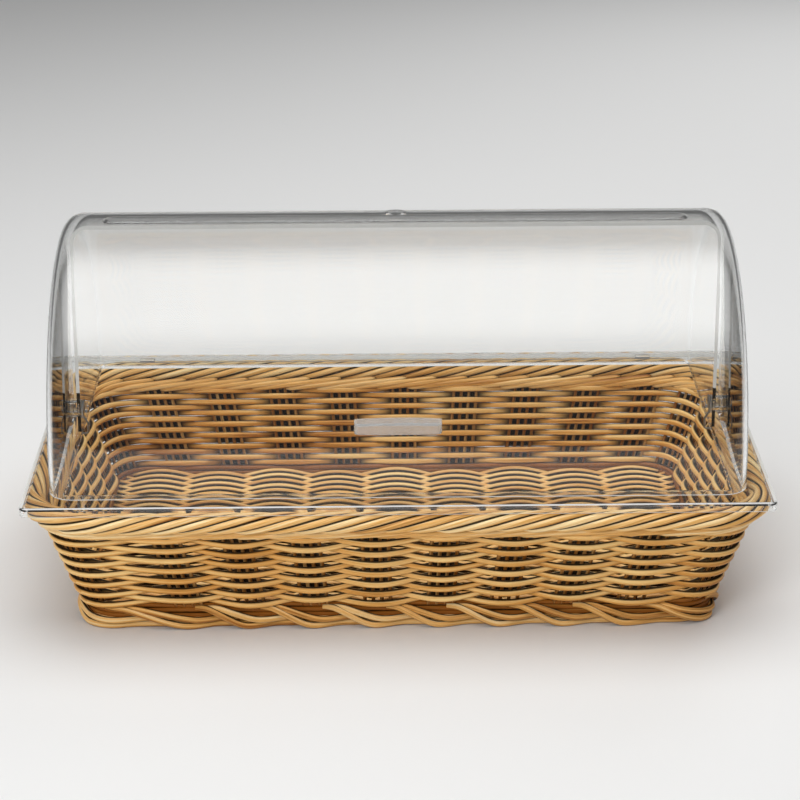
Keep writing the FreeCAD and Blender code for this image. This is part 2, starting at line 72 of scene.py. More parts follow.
# How far in from both faces the middle of a small rounding lies, as a share of its radius
SOFT_SHARE = 0.3
# Points of two patches that lie closer than this are one
WELD_REACH = 0.002 * MM
# Edges that turn by more than this are shaded sharp
SHARP_ANGLE = math.radians(32.0)
# How strongly a large face's direction counts in even shading, in percent
FACE_WEIGHT = 80


class Body(Enum):
    """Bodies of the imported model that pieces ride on."""

    BASKET = "basket"
    COVER = "cover"
    LID = "lid"


class Slot(Enum):
    """Material slots of the record."""

    STRAND = "rattan_strand"
    STAKE = "rattan_stake"
    BORDER = "rattan_border"
    BASE = "clear_base"
    LID = "clear_lid"
    HANDLE = "clear_handle"
    PIN = "clear_pin"
    WIRE = "spring_wire"


# Surfaces as arrays


def unit(vectors: Array) -> Array:
    """Vectors divided by their lengths."""
    return vectors / np.linalg.norm(vectors, axis=-1, keepdims=True)


def smooth_step(value: Array) -> Array:
    """Rise from 0 to 1 as value goes from 0 to 1: 3v^2 - 2v^3, flat outside."""
    held = np.clip(value, 0.0, 1.0)
    return held * held * (3 - 2 * held)


def grid_faces(rows: int, columns: int, wrap_rows: bool, wrap_columns: bool) -> Array:
    """Quads between neighbours of a grid whose points are numbered row by row.

    Args:
        rows: how many rows of points.
        columns: how many points in a row.
        wrap_rows: whether the last row joins the first.
        wrap_columns: whether each row's last point joins its first.

    Returns:
        One row of four point numbers for each quad.
    """
    row = np.arange(rows if wrap_rows else rows - 1)[:, None]
    column = np.arange(columns if wrap_columns else columns - 1)[None, :]
    next_row, next_column = (row + 1) % rows, (column + 1) % columns
    corners = (
        row * columns + column, row * columns + next_column,
        next_row * columns + next_column, next_row * columns + column,
    )
    return np.stack(np.broadcast_arrays(*corners), axis=-1).reshape(-1, 4)


@dataclass
class Surface:
    """Points, faces in blocks that share a corner count, and values for every face corner."""

    points: Array
    blocks: list[Array]
    values: dict[str, Array] = field(default_factory=dict)

    def volume(self) -> float:
        """Signed volume: a sixth of the summed triple products of each face's fan triangles.

        Returns:
            The volume, which is negative where the faces point inwards.
        """
        total = 0.0
        for block in self.blocks:
            first = self.points[block[:, 0]]
            for corner in range(1, block.shape[1] - 1):
                second, third = self.points[block[:, corner]], self.points[block[:, corner + 1]]
                total += float(np.sum(first * np.cross(second, third))) / 6
        return total


def joined(surfaces: Sequence[Surface]) -> Surface:
    """One surface from several.

    Args:
        surfaces: surfaces that carry the same kinds of values.

    Returns:
        All their points, faces and values, in turn.
    """
    starts = np.cumsum([0] + [len(surface.points) for surface in surfaces[:-1]])
    blocks = [block + start for surface, start in zip(surfaces, starts)
              for block in surface.blocks]
    values = {
        name: np.concatenate([surface.values[name] for surface in surfaces])
        for name in surfaces[0].values
    }
    return Surface(np.concatenate([surface.points for surface in surfaces]), blocks, values)


def capped(points: Array, way: int = 1) -> Surface:
    """Rings of points joined to their neighbours, with a face over each end.

    Args:
        points: the rings, as rings x points x 3.
        way: 1, or -1 to turn every face round.

    Returns:
        The closed surface.
    """
    rings, count = points.shape[:2]
    ring = np.arange(count)
    blocks = [grid_faces(rings, count, False, True)[:, ::way], ring[None, ::-way],
              ring[None, ::way] + (rings - 1) * count]
    return Surface(points.reshape(-1, 3), blocks)


def mesh_from(name: str, surface: Surface) -> bpy.types.Mesh:
    """A mesh with the surface's points, faces and corner values.

    Args:
        name: name of the mesh.
        surface: the arrays to put into it.

    Returns:
        The new mesh, shaded smooth.
    """
    mesh = bpy.data.meshes.new(name)
    corners = np.concatenate([block.ravel() for block in surface.blocks])
    counts = np.concatenate([np.full(len(block), block.shape[1]) for block in surface.blocks])
    mesh.vertices.add(len(surface.points))
    mesh.vertices.foreach_set("co", surface.points.astype(np.float32).ravel())
    mesh.loops.add(len(corners))
    mesh.loops.foreach_set("vertex_index", corners.astype(np.int32))
    mesh.polygons.add(len(counts))
    mesh.polygons.foreach_set("loop_start", (np.cumsum(counts) - counts).astype(np.int32))
    mesh.polygons.foreach_set("use_smooth", np.ones(len(counts), dtype=bool))
    for value_name, value in surface.values.items():
        kind, key = ("FLOAT_VECTOR", "vector") if value.ndim == 2 else ("FLOAT", "value")
        attribute = mesh.attributes.new(value_name, kind, "CORNER")
        attribute.data.foreach_set(key, value.astype(np.float32).ravel())
    mesh.update(calc_edges=True)
    if surface.volume() < 0:
        mesh.flip_normals()
    return mesh


def placed(name: str, data: bpy.types.ID) -> bpy.types.Object:
    """Put a mesh, lamp or camera in the scene.

    Args:
        name: name of the object.
        data: what it shows.

    Returns:
        The new object.
    """
    holder = bpy.data.objects.new(name, data)
    bpy.context.scene.collection.objects.link(holder)
    return holder


def new_piece(name: str, mesh: bpy.types.Mesh, material: bpy.types.Material,
              body: Body, nodes: Sequence[str]) -> bpy.types.Object:
    """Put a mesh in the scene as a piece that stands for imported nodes.

    Args:
        name: name of the piece.
        mesh: its finished mesh.
        material: its finish.
        body: the body that it rides on.
        nodes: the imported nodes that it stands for.

    Returns:
        The new object.
    """
    piece = placed(name, mesh)
    mesh.materials.clear()
    mesh.materials.append(material)
    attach(piece, body.value)
    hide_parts(*nodes)
    LOG.info("%s: %d faces, stands for %s", name, len(mesh.polygons), ", ".join(nodes))
    return piece


@dataclass(frozen=True)
class StrandSection:
    """Section of a drawn strand: an ellipse whose radius swells at shallow ribs."""

    out_radius: float
    up_radius: float
    ribs: int = 5
    rib_share: float = 0.035
    points: int = 20

    def offsets(self) -> tuple[Array, Array]:
        """Points round the section: radius times 1 + share * cos(ribs * angle).

        Returns:
            Each point's distance out and its distance up.
        """
        angle = 2 * np.pi * np.arange(self.points) / self.points
        swell = 1 + self.rib_share * np.cos(self.ribs * angle)
        return self.out_radius * swell * np.cos(angle), self.up_radius * swell * np.sin(angle)


def strands(centres: Array, out: Array, section: StrandSection, tone: Array, closed: bool,
            lane: Array | float = 0.0, tall: Array | float = 1.0,
            end_share: float = 0.45, end_run: float = 0.06) -> Surface:
    """Strands carried along many paths at once.

    Point = centre + thin * (o * side + tall * u * up), where side is the outward direction made
    square to the path, up is side x path direction, (o, u) runs round the section, and thin
    falls to end_share over the first and last end_run of an open strand. A point's openness is
    |o| / radius * (1 - max(0, -lane * o / radius)), so it is 0 along the lines where a strand
    meets the next one, and on the side that the other lane of the weave covers. The finish
    paints shade by it: the colour goes dark where the openness is small.

    Args:
        centres: paths, as strands x stations x 3.
        out: outward directions, of the same shape.
        section: the section to carry.
        tone: a lighter or darker value for each strand's stations.
        closed: whether each path joins its own start.
        lane: where each station lies off the middle of the weave, from -1 to 1.
        tall: share of the section's height at each station.
        end_share: share of the thickness left at an open end.
        end_run: share of an open strand's stations over which it thins.

    Returns:
        The strands as one surface, with grain (distance along, out, up), tone and openness, which
        the finish turns into painted shade.
    """
    count, stations = centres.shape[:2]
    if closed:
        path = np.roll(centres, -1, axis=1) - np.roll(centres, 1, axis=1)
    else:
        path = np.gradient(centres, axis=1)
    path = unit(path)
    side = unit(out - path * np.sum(out * path, axis=-1, keepdims=True))
    up = np.cross(side, path)
    out_part, up_part = section.offsets()
    share = np.linspace(0, 1, stations)
    thin = np.ones(stations) if closed else (
        end_share + (1 - end_share) * smooth_step(np.minimum(share, 1 - share) / end_run))
    reach = thin[None, :, None, None]
    height = np.broadcast_to(tall, (count, stations))[:, :, None, None]
    points = centres[:, :, None, :] + reach * (
        out_part[None, None, :, None] * side[:, :, None, :]
        + height * up_part[None, None, :, None] * up[:, :, None, :])

    step = np.linalg.norm(np.roll(centres, -1, axis=1) - centres, axis=-1)
    along = np.concatenate([np.zeros((count, 1)), np.cumsum(step, axis=1)], axis=1)
    along = along + GRAIN_SHIFT * np.arange(count)[:, None]
    tones = np.concatenate([tone, tone[:, :1]], axis=1)

    size = section.points
    quads = grid_faces(stations, size, closed, True)
    rows = quads // size
    wrapped = closed & (rows[:, 2:] < rows[:, :1])
    rows[:, 2:] = np.where(wrapped, stations, rows[:, 2:])
    around = quads % size
    starts = (np.arange(count) * stations * size)[:, None, None]
    blocks = [(quads[None] + starts).reshape(-1, 4)]
    grain = np.stack(np.broadcast_arrays(
        along[:, rows], out_part[around][None], up_part[around][None]), axis=-1)
    lanes = np.broadcast_to(lane, (count, stations))
    lanes = np.concatenate([lanes, lanes[:, :1]], axis=1)
    # Openness drives painted shade in the finish: dark where strands meet and where the other lane
    # covers
    facing = out_part / section.out_radius
    covered = np.clip(-lanes[:, rows] * facing[around][None], 0, 1)
    openness = np.abs(facing)[around][None] * (1 - covered)
    values = {"grain": [grain.reshape(-1, 3)], "tone": [tones[:, rows].reshape(-1)],
              "open": [openness.reshape(-1)]}
    if not closed:
        ring = np.arange(size)
        for station, order in ((0, ring[::-1]), (stations - 1, ring)):
            blocks.append(starts[:, :, 0] + station * size + order[None, :])
            cap = np.stack(np.broadcast_arrays(
                along[:, station, None], out_part[order][None], up_part[order][None]), axis=-1)
            values["grain"].append(cap.reshape(-1, 3))
            values["tone"].append(np.repeat(tones[:, station], size))
            values["open"].append(np.tile(np.abs(facing)[order], count))
    return Surface(points.reshape(-1, 3), blocks,
                   {name: np.concatenate(parts) for name, parts in values.items()})


# Finishes


class FinishNodes:
    """Adds nodes to one material and joins them."""

    def __init__(self, name: str) -> None:
        """Start an empty material.

        Args:
            name: name of the material.
        """
        self.material = bpy.data.materials.new(name)
        self.material.use_nodes = True
        self.tree = self.material.node_tree
        self.tree.nodes.clear()

    def feed(self, socket: bpy.types.NodeSocket, value: object) -> None:
        """Give an input what it works on.

        Args:
            socket: the input.
            value: an output to join it to, or a number, colour or vector to set it to.
        """
        if isinstance(value, bpy.types.NodeSocket):
            self.tree.links.new(value, socket)
        else:
            socket.default_value = value

    def add(self, kind: str, inputs: dict[str, object] | None = None,
            **settings: object) -> bpy.types.Node:
        """Add a node.

        Args:
            kind: Blender's name for this kind of node.
            inputs: what feeds each of its inputs, by name.
            **settings: the node's own settings.

        Returns:
            The new node.
        """
        node = self.tree.nodes.new(kind)
        for name, value in settings.items():
            setattr(node, name, value)
        for name, value in (inputs or {}).items():
            self.feed(node.inputs[name], value)
        return node

    def math(self, operation: str, first: object, second: object) -> bpy.types.NodeSocket:
        """Work out one number from two.

        Args:
            operation: Blender's name for the sum, product or other operation.
            first: a number or an output.
            second: a number or an output.

        Returns:
            The output that gives the result.
        """
        node = self.add("ShaderNodeMath", operation=operation)
        for socket, value in zip(node.inputs, (first, second)):
            self.feed(socket, value)
        return node.outputs[0]

    def mapped(self, value: bpy.types.NodeSocket, source: Range, result: Range,
               smooth: bool = False) -> bpy.types.NodeSocket:
        """Map one range of a value onto another, held at both ends.

        Args:
            value: the output to map.
            source: its range.
            result: what the ends of that range become.
            smooth: whether the way between them is a smooth step instead of straight.

        Returns:
            The output that gives the result.
        """
        node = self.add("ShaderNodeMapRange", {
            "Value": value, "From Min": source[0], "From Max": source[1],
            "To Min": result[0], "To Max": result[1]},
            interpolation_type="SMOOTHSTEP" if smooth else "LINEAR")
        return node.outputs["Result"]

    def marks(self, scale: float, detail: float = 2.0,
              roughness: float = 0.5) -> bpy.types.NodeSocket:
        """A noise through the object's own space, for small marks on its surface.

        Args:
            scale: how many marks to a metre, about.
            detail: how many finer layers it has.
            roughness: how strong the finer layers are.

        Returns:
            The output that gives the noise.
        """
        place = self.add("ShaderNodeTexCoord").outputs["Object"]
        return self.add("ShaderNodeTexNoise", {
            "Vector": place, "Scale": scale, "Detail": detail,
            "Roughness": roughness}).outputs["Fac"]

    def finish(self, shader: bpy.types.NodeSocket) -> bpy.types.Material:
        """Join the shader to the output and give the material back."""
        self.add("ShaderNodeOutputMaterial", {"Surface": shader})
        return self.material


@dataclass(frozen=True)
class Streak:
    """Noise stretched along a strand: scale along and across, detail, share of the colour."""

    along: float
    across: float
    detail: float
    share: float


@dataclass(frozen=True)
class RattanFinish:
    """Drawn plastic rattan: long fine streaks from brown through ochre to cream."""

    name: str
    dark: Colour = (0.34, 0.115, 0.016)
    middle: Colour = (0.74, 0.36, 0.085)
    light: Colour = (0.97, 0.66, 0.27)
    # Where the three colours stand on the ramp
    dark_stop: float = 0.30
    middle_stop: float = 0.46
    light_stop: float = 0.66
    fine: Streak = Streak(22.0, 820.0, 4.0, 0.55)
    broad: Streak = Streak(22.0 / 5, 820.0 / 3, 2.0, 0.45)
    streak_roughness: float = 0.6
    # Painted highlight: how far up the ramp a strand's colour moves for each metre above its
    # middle
    painted_top_light: float = 30.0
    # Painted shade: openness where the colour starts to come back and where it is whole, and what
    # is left of it in the deepest places
    painted_shade_opening: Range = (0.18, 0.66)
    deepest_painted_shade: float = 0.03
    # Roughness in the darkest and in the palest streaks
    roughness: Range = (0.48, 0.28)
    groove_depth: float = 0.25 * MM
    groove_strength: float = 0.5
    refraction: float = 1.48
    specular: float = 0.3

    def build(self) -> bpy.types.Material:
        """Two noises stretched along the strand set its colour, gloss and fine grooves.

        A painted highlight makes a strand a little paler along its top edge, and painted shade
        makes it dark along the lines where it meets the next one and where the other lane covers
        it.

        Returns:
            The material.
        """
        nodes = FinishNodes(self.name)
        grain = nodes.add("ShaderNodeAttribute", attribute_name="grain").outputs["Vector"]
        tone = nodes.add("ShaderNodeAttribute", attribute_name="tone").outputs["Fac"]
        noises = []
        for streak in (self.fine, self.broad):
            stretched = nodes.add("ShaderNodeMapping", {
                "Vector": grain, "Scale": (streak.along, streak.across, streak.across)})
            noises.append(nodes.add("ShaderNodeTexNoise", {
                "Vector": stretched.outputs["Vector"], "Scale": 1.0, "Detail": streak.detail,
                "Roughness": self.streak_roughness}).outputs["Fac"])
        fine, broad = noises
        mixed = nodes.math("ADD", nodes.math("MULTIPLY", fine, self.fine.share),
                           nodes.math("MULTIPLY", broad, self.broad.share))
        # Painted highlight: the colour moves up the ramp towards the strand's top edge, as if lit
        # from above
        height = nodes.add("ShaderNodeSeparateXYZ", {"Vector": grain}).outputs["Z"]
        edge = nodes.math("MULTIPLY", height, self.painted_top_light)
        place = nodes.math("ADD", nodes.math("ADD", mixed, tone), edge)
        ramp = nodes.add("ShaderNodeValToRGB", {"Fac": place})
        stops = ramp.color_ramp.elements
        stops[0].position, stops[0].color = self.dark_stop, (*self.dark, 1)
        stops[1].position, stops[1].color = self.light_stop, (*self.light, 1)
        stops.new(self.middle_stop).color = (*self.middle, 1)
        # Painted shade: the colour is darkened where the openness is small, in crevices and under
        # the other lane
        openness = nodes.add("ShaderNodeAttribute", attribute_name="open").outputs["Fac"]
        lit = nodes.mapped(openness, self.painted_shade_opening, (self.deepest_painted_shade, 1.0), smooth=True)
        colour = nodes.add("ShaderNodeVectorMath", {
            "Vector": ramp.outputs["Color"], "Scale": lit}, operation="SCALE")
        bump = nodes.add("ShaderNodeBump", {
            "Height": fine, "Strength": self.groove_strength, "Distance": self.groove_depth})
        plastic = nodes.add("ShaderNodeBsdfPrincipled", {
            "Base Color": colour.outputs["Vector"],
            "Roughness": nodes.mapped(fine, (0.0, 1.0), self.roughness),
            "Normal": bump.outputs["Normal"], "IOR": self.refraction,
            "Specular IOR Level": self.specular})
        return nodes.finish(plastic.outputs["BSDF"])


@dataclass(frozen=True)
class ClearFinish:
    """Clear moulded plastic that lets the lamps' light through to what is inside."""

    name: str
    tint: Colour = (0.985, 0.99, 0.985)
    dimming: Colour = (0.95, 0.955, 0.95)
    # Wear: its scale, detail and roughness, and the range of it that dulls the gloss
    wear: tuple[float, float, float] = (35.0, 5.0, 0.65)
    wear_range: Range = (0.35, 0.75)
    roughness: Range = (0.01, 0.022)
    refraction: float = 1.49

    def build(self) -> bpy.types.Material:
        """Refracting plastic; shadow and diffuse rays pass straight through, a little dimmed.

        Returns:
            The material.
        """
        nodes = FinishNodes(self.name)
        gloss = nodes.mapped(nodes.marks(*self.wear), self.wear_range, self.roughness)
        plastic = nodes.add("ShaderNodeBsdfPrincipled", {
            "Base Color": (*self.tint, 1), "Roughness": gloss, "IOR": self.refraction,
            "Transmission Weight": 1.0})
        through = nodes.add("ShaderNodeBsdfTransparent", {"Color": (*self.dimming, 1)})
        ray = nodes.add("ShaderNodeLightPath").outputs
        passing = nodes.math("MAXIMUM", ray["Is Shadow Ray"], ray["Is Diffuse Ray"])
        mix = nodes.add("ShaderNodeMixShader", {"Fac": passing})
        for socket, shader in zip(mix.inputs[1:], (plastic, through)):
            nodes.feed(socket, shader.outputs["BSDF"])
        return nodes.finish(mix.outputs["Shader"])


@dataclass(frozen=True)
class LitEdgeFinish:
    """Cut and rounded edges of the clear plastic, painted milky and nearly white: a painted
    highlight for the light that they gather.
    """

    name: str = "lit_edge"
    colour: Colour = (0.93, 0.93, 0.92)
    through: float = 0.25
    marks_scale: float = 300.0
    roughness: Range = (0.12, 0.3)
    refraction: float = 1.49

    def build(self) -> bpy.types.Material:
        """Milky plastic whose gloss varies with a fine noise; on the edges its pale colour is a
        painted highlight.

        Returns:
            The material.
        """
        nodes = FinishNodes(self.name)
        gloss = nodes.mapped(nodes.marks(self.marks_scale), (0.0, 1.0), self.roughness)
        milky = nodes.add("ShaderNodeBsdfPrincipled", {
            "Base Color": (*self.colour, 1), "Roughness": gloss, "IOR": self.refraction,
            "Transmission Weight": self.through})
        return nodes.finish(milky.outputs["BSDF"])


@dataclass(frozen=True)
class WireFinish:
    """Dark spring steel with faint drawing marks."""

    name: str
    colour: Colour = (0.34, 0.33, 0.32)
    marks_scale: float = 900.0
    roughness: Range = (0.25, 0.4)

    def build(self) -> bpy.types.Material:
        """Metal whose gloss varies with a fine noise.

        Returns:
            The material.
        """
        nodes = FinishNodes(self.name)
        gloss = nodes.mapped(nodes.marks(self.marks_scale), (0.0, 1.0), self.roughness)
        steel = nodes.add("ShaderNodeBsdfPrincipled", {
            "Base Color": (*self.colour, 1), "Metallic": 1.0, "Roughness": gloss})
        return nodes.finish(steel.outputs["BSDF"])


# The basket


@dataclass(frozen=True)
class Ring:
    """Rounded rectangle at one level: half length, half width, corner radius."""

    half_length: float
    half_width: float
    corner: float
    level: float


@dataclass(frozen=True)
class BasketForm:
    """The woven wall's middle surface, which leans out from the foot to the rim.

    A turn runs from 0 to 4 counter-clockwise: whole numbers are the middles of the corners, and
    the sides between them are front, right, rear and left.
    """

    foot: Ring = Ring(227.0 * MM, 133.0 * MM, 28.0 * MM, 16.0 * MM)
    rim: Ring = Ring(258.0 * MM, 155.0 * MM, 42.0 * MM, 98.0 * MM)
    # Groups of stakes on each side: how many, their pitch, their shift
    side_groups: tuple[tuple[int, float, float], ...] = (
        (8, 48.0 * MM, 8.0 * MM), (6, 39.5 * MM, 0.0), (9, 48.4 * MM, -7.0 * MM),
        (5, 46.5 * MM, 0.0),
    )

    def ring_at(self, level: float) -> Ring:
        """The wall's outline at a level, straight between the foot's and the rim's.

        Args:
            level: height above the table.

        Returns:
            The outline.
        """
        share = (level - self.foot.level) / (self.rim.level - self.foot.level)
        pairs = ((self.foot.half_length, self.rim.half_length),
                 (self.foot.half_width, self.rim.half_width), (self.foot.corner, self.rim.corner))
        return Ring(*(low + share * (high - low) for low, high in pairs), level)

    def side_length(self, ring: Ring, side: int) -> float:
        """Distance along an outline from the middle of one corner to the middle of the next."""
        half = (ring.half_length, ring.half_width)[side % 2]
        return 2 * (half - ring.corner) + ring.corner * math.pi / 2

    def group_turns(self) -> Array:
        """Places of the groups of stakes, one at each corner and the rest along the sides.

        Returns:
            The turn of every group, with the first one's again at 4.
        """
        middle = self.ring_at((self.foot.level + self.rim.level) / 2)
        turns: list[float] = []
        for side, (count, pitch, shift) in enumerate(self.side_groups):
            offsets = (np.arange(count) - (count - 1) / 2) * pitch + shift
            turns += [float(side), *(side + 0.5 + offsets / self.side_length(middle, side))]
        return np.array([*turns, 4.0])

    def group_count(self) -> int:
        """How many groups of stakes there are."""
        return len(self.group_turns()) - 1

    def turn_at(self, place: Array) -> Array:
        """Turn of a place that is counted in groups, straight between neighbouring groups."""
        turns = self.group_turns()
        return np.interp(place, np.arange(len(turns)), turns)

    def outline(self, ring: Ring, turn: Array, offset: Array | float = 0.0) -> tuple[Array, Array]:
        """Points and outward directions on an outline.

        Along a side, the first and last quarter bends are arcs about the corner's middle, and
        the run between them is straight; the side is then turned by its quarter of a circle.

        Args:
            ring: the outline.
            turn: where on it, from 0 to 4.
            offset: a further distance along it, in metres.

        Returns:
            Points and unit directions, each of the turn's shape x 3.
        """
        side = np.floor(turn).astype(int)
        along_side = turn - side
        side = side % 4
        half = np.where(side % 2 == 0, ring.half_length, ring.half_width)
        depth = np.where(side % 2 == 0, ring.half_width, ring.half_length)
        bend, straight = ring.corner * np.pi / 4, 2 * (half - ring.corner)
        along = along_side * (straight + 2 * bend) + offset
        bent = np.minimum(along - bend, 0) + np.maximum(along - bend - straight, 0)
        angle = bent / ring.corner
        across = np.clip(along - bend, 0, straight) - straight / 2 + ring.corner * np.sin(angle)
        out = depth - ring.corner + ring.corner * np.cos(angle)
        cosine = np.array([1, 0, -1, 0])[side]
        sine = np.array([0, 1, 0, -1])[side]
        point = np.stack([across * cosine + out * sine, across * sine - out * cosine,
                          np.full_like(across, ring.level)], axis=-1)
        normal = np.stack([np.sin(angle) * cosine + np.cos(angle) * sine,
                           np.sin(angle) * sine - np.cos(angle) * cosine,
                           np.zeros_like(across)], axis=-1)
        return point, normal

    def wall(self, turn: Array, level: Array | float,
             offset: Array | float = 0.0) -> tuple[Array, Array, Array]:
        """Points on the leaning wall with their outward and upward directions.

        Point = foot point + share of the height * (rim point - foot point).

        Args:
            turn: where round the wall, from 0 to 4.
            level: height above the table.
            offset: a further distance along it, in metres.

        Returns:
            Points, unit directions out of the wall and unit directions up it.
        """
        foot, outward = self.outline(self.foot, turn, offset)
        rim, _ = self.outline(self.rim, turn, offset)
        slope = unit(rim - foot)
        share = (np.asarray(level) - self.foot.level) / (self.rim.level - self.foot.level)
        point = foot + (rim - foot) * np.broadcast_to(share, turn.shape)[..., None]
        outward = outward - slope * np.sum(outward * slope, axis=-1, keepdims=True)
        return point, unit(outward), slope


def wandering(random: np.random.Generator, places: Array, knots: int, spread: float) -> Array:
    """Random values at whole places round a closed run, straight between them."""
    values = random.uniform(-spread, spread, knots)
    return np.interp(places, np.arange(knots + 1), np.append(values, values[0]))


def tone_per_strand(random: np.random.Generator, count: int, stations: int,
                    spread: Range) -> Array:
    """One random tone for each strand, the same at all its stations."""
    return np.repeat(random.uniform(*spread, (count, 1)), stations, axis=1)


@dataclass
class WovenWall:
    """Plain weave: rows of strands that pass outside one group of stakes and inside the next."""

    form: BasketForm
    rows: int = 14
    bottom: float = 18.5 * MM
    top: float = 80.0 * MM
    swing: float = 4.7 * MM
    strand_radius: float = 2.35 * MM
    # Height of a strand's section at a crossing, what it gains on its way to a crest, the
    # power by which it does, and how far it hangs lower outside than at a crossing
    thin_crossing: float = 0.92
    full_crest: float = 0.14
    crest_power: float = 1.5
    sag: float = 0.45 * MM
    steps: int = 12
    # Unevenness along a row, of its swing, its level and its tone, and from row to row
    swing_spread: float = 0.09
    level_spread: float = 0.22 * MM
    tone_spread: float = 0.07
    row_tones: Range = (-0.05, 0.05)
    stake_radius: float = 1.5 * MM
    stake_pitch: float = 6.1 * MM
    stakes_per_group: int = 4
    stake_inset: float = 1.0 * MM
    stake_stations: int = 6
    stake_points: int = 12
    stake_end: float = 0.8
    stake_tones: Range = (-0.1, 0.04)
    # How much darker stakes are than what the tones give, because strands cover them
    stake_shade: float = 0.1
    seed: int = 11

    def row_surface(self, row: int, random: np.random.Generator) -> Surface:
        """One closed strand: wall point + swing * cos(pi * (place + row)) outward.

        Args:
            row: number of the row from the foot, from 0.
            random: source of the strand's small unevenness.

        Returns:
            The strand's surface.
        """
        groups = self.form.group_count()
        place = np.arange(groups * self.steps) / self.steps
        pitch = (self.top - self.bottom) / self.rows
        level = self.bottom + (row + 0.5) * pitch
        point, outward, slope = self.form.wall(self.form.turn_at(place), level)
        swing = self.swing * (1 + wandering(random, place, groups, self.swing_spread))
        wave = swing * np.cos(np.pi * (place + row))
        drift = (wandering(random, place, groups, self.level_spread)
                 - self.sag * wave / self.swing)
        centres = point + outward * wave[:, None] + slope * drift[:, None]
        tone = (random.uniform(*self.row_tones)
                + wandering(random, place, groups, self.tone_spread))
        section = StrandSection(self.strand_radius, self.strand_radius)
        lane = wave / self.swing
        tall = self.thin_crossing + self.full_crest * np.abs(lane) ** self.crest_power
        return strands(centres[None], outward[None], section, tone[None], closed=True,
                       lane=lane[None], tall=tall[None])

    def stake_surface(self, random: np.random.Generator) -> Surface:
        """Straight stakes in groups, from the foot up into the border.

        Args:
            random: source of the stakes' tones.

        Returns:
            The stakes' surface.
        """
        turns = self.form.group_turns()[:-1]
        numbers = np.arange(self.stakes_per_group) - (self.stakes_per_group - 1) / 2
        turn = np.repeat(turns, self.stakes_per_group)
        offset = np.tile(numbers * self.stake_pitch, len(turns))
        low, high = (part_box("wall_stakes")[end].z for end in (0, 1))
        foot, head = (self.form.wall(turn, level, offset)
                      for level in (low + self.stake_inset, high - self.stake_inset))
        share = np.linspace(0, 1, self.stake_stations)[None, :, None]
        centres = foot[0][:, None] * (1 - share) + head[0][:, None] * share
        out = np.broadcast_to(foot[1][:, None], centres.shape)
        tone = tone_per_strand(random, len(turn), self.stake_stations, self.stake_tones)
        section = StrandSection(self.stake_radius, self.stake_radius, points=self.stake_points)
        return strands(centres, out, section, tone - self.stake_shade, closed=False,
                       end_share=self.stake_end)

    def build(self, strand: bpy.types.Material, stake: bpy.types.Material) -> None:
        """Make every row and the stakes.

        Args:
            strand: finish of the rows.
            stake: finish of the stakes.
        """
        random = np.random.default_rng(self.seed)
        for row in range(self.rows):
            name = "woven_row_%02d" % (row + 1)
            mesh = mesh_from(name, self.row_surface(row, random))
            new_piece(name, mesh, strand, Body.BASKET,
                      ["weaver_row_%02d" % (row + 1)])
        mesh = mesh_from("round_stakes", self.stake_surface(random))
        new_piece("round_stakes", mesh, stake, Body.BASKET, ["wall_stakes"])


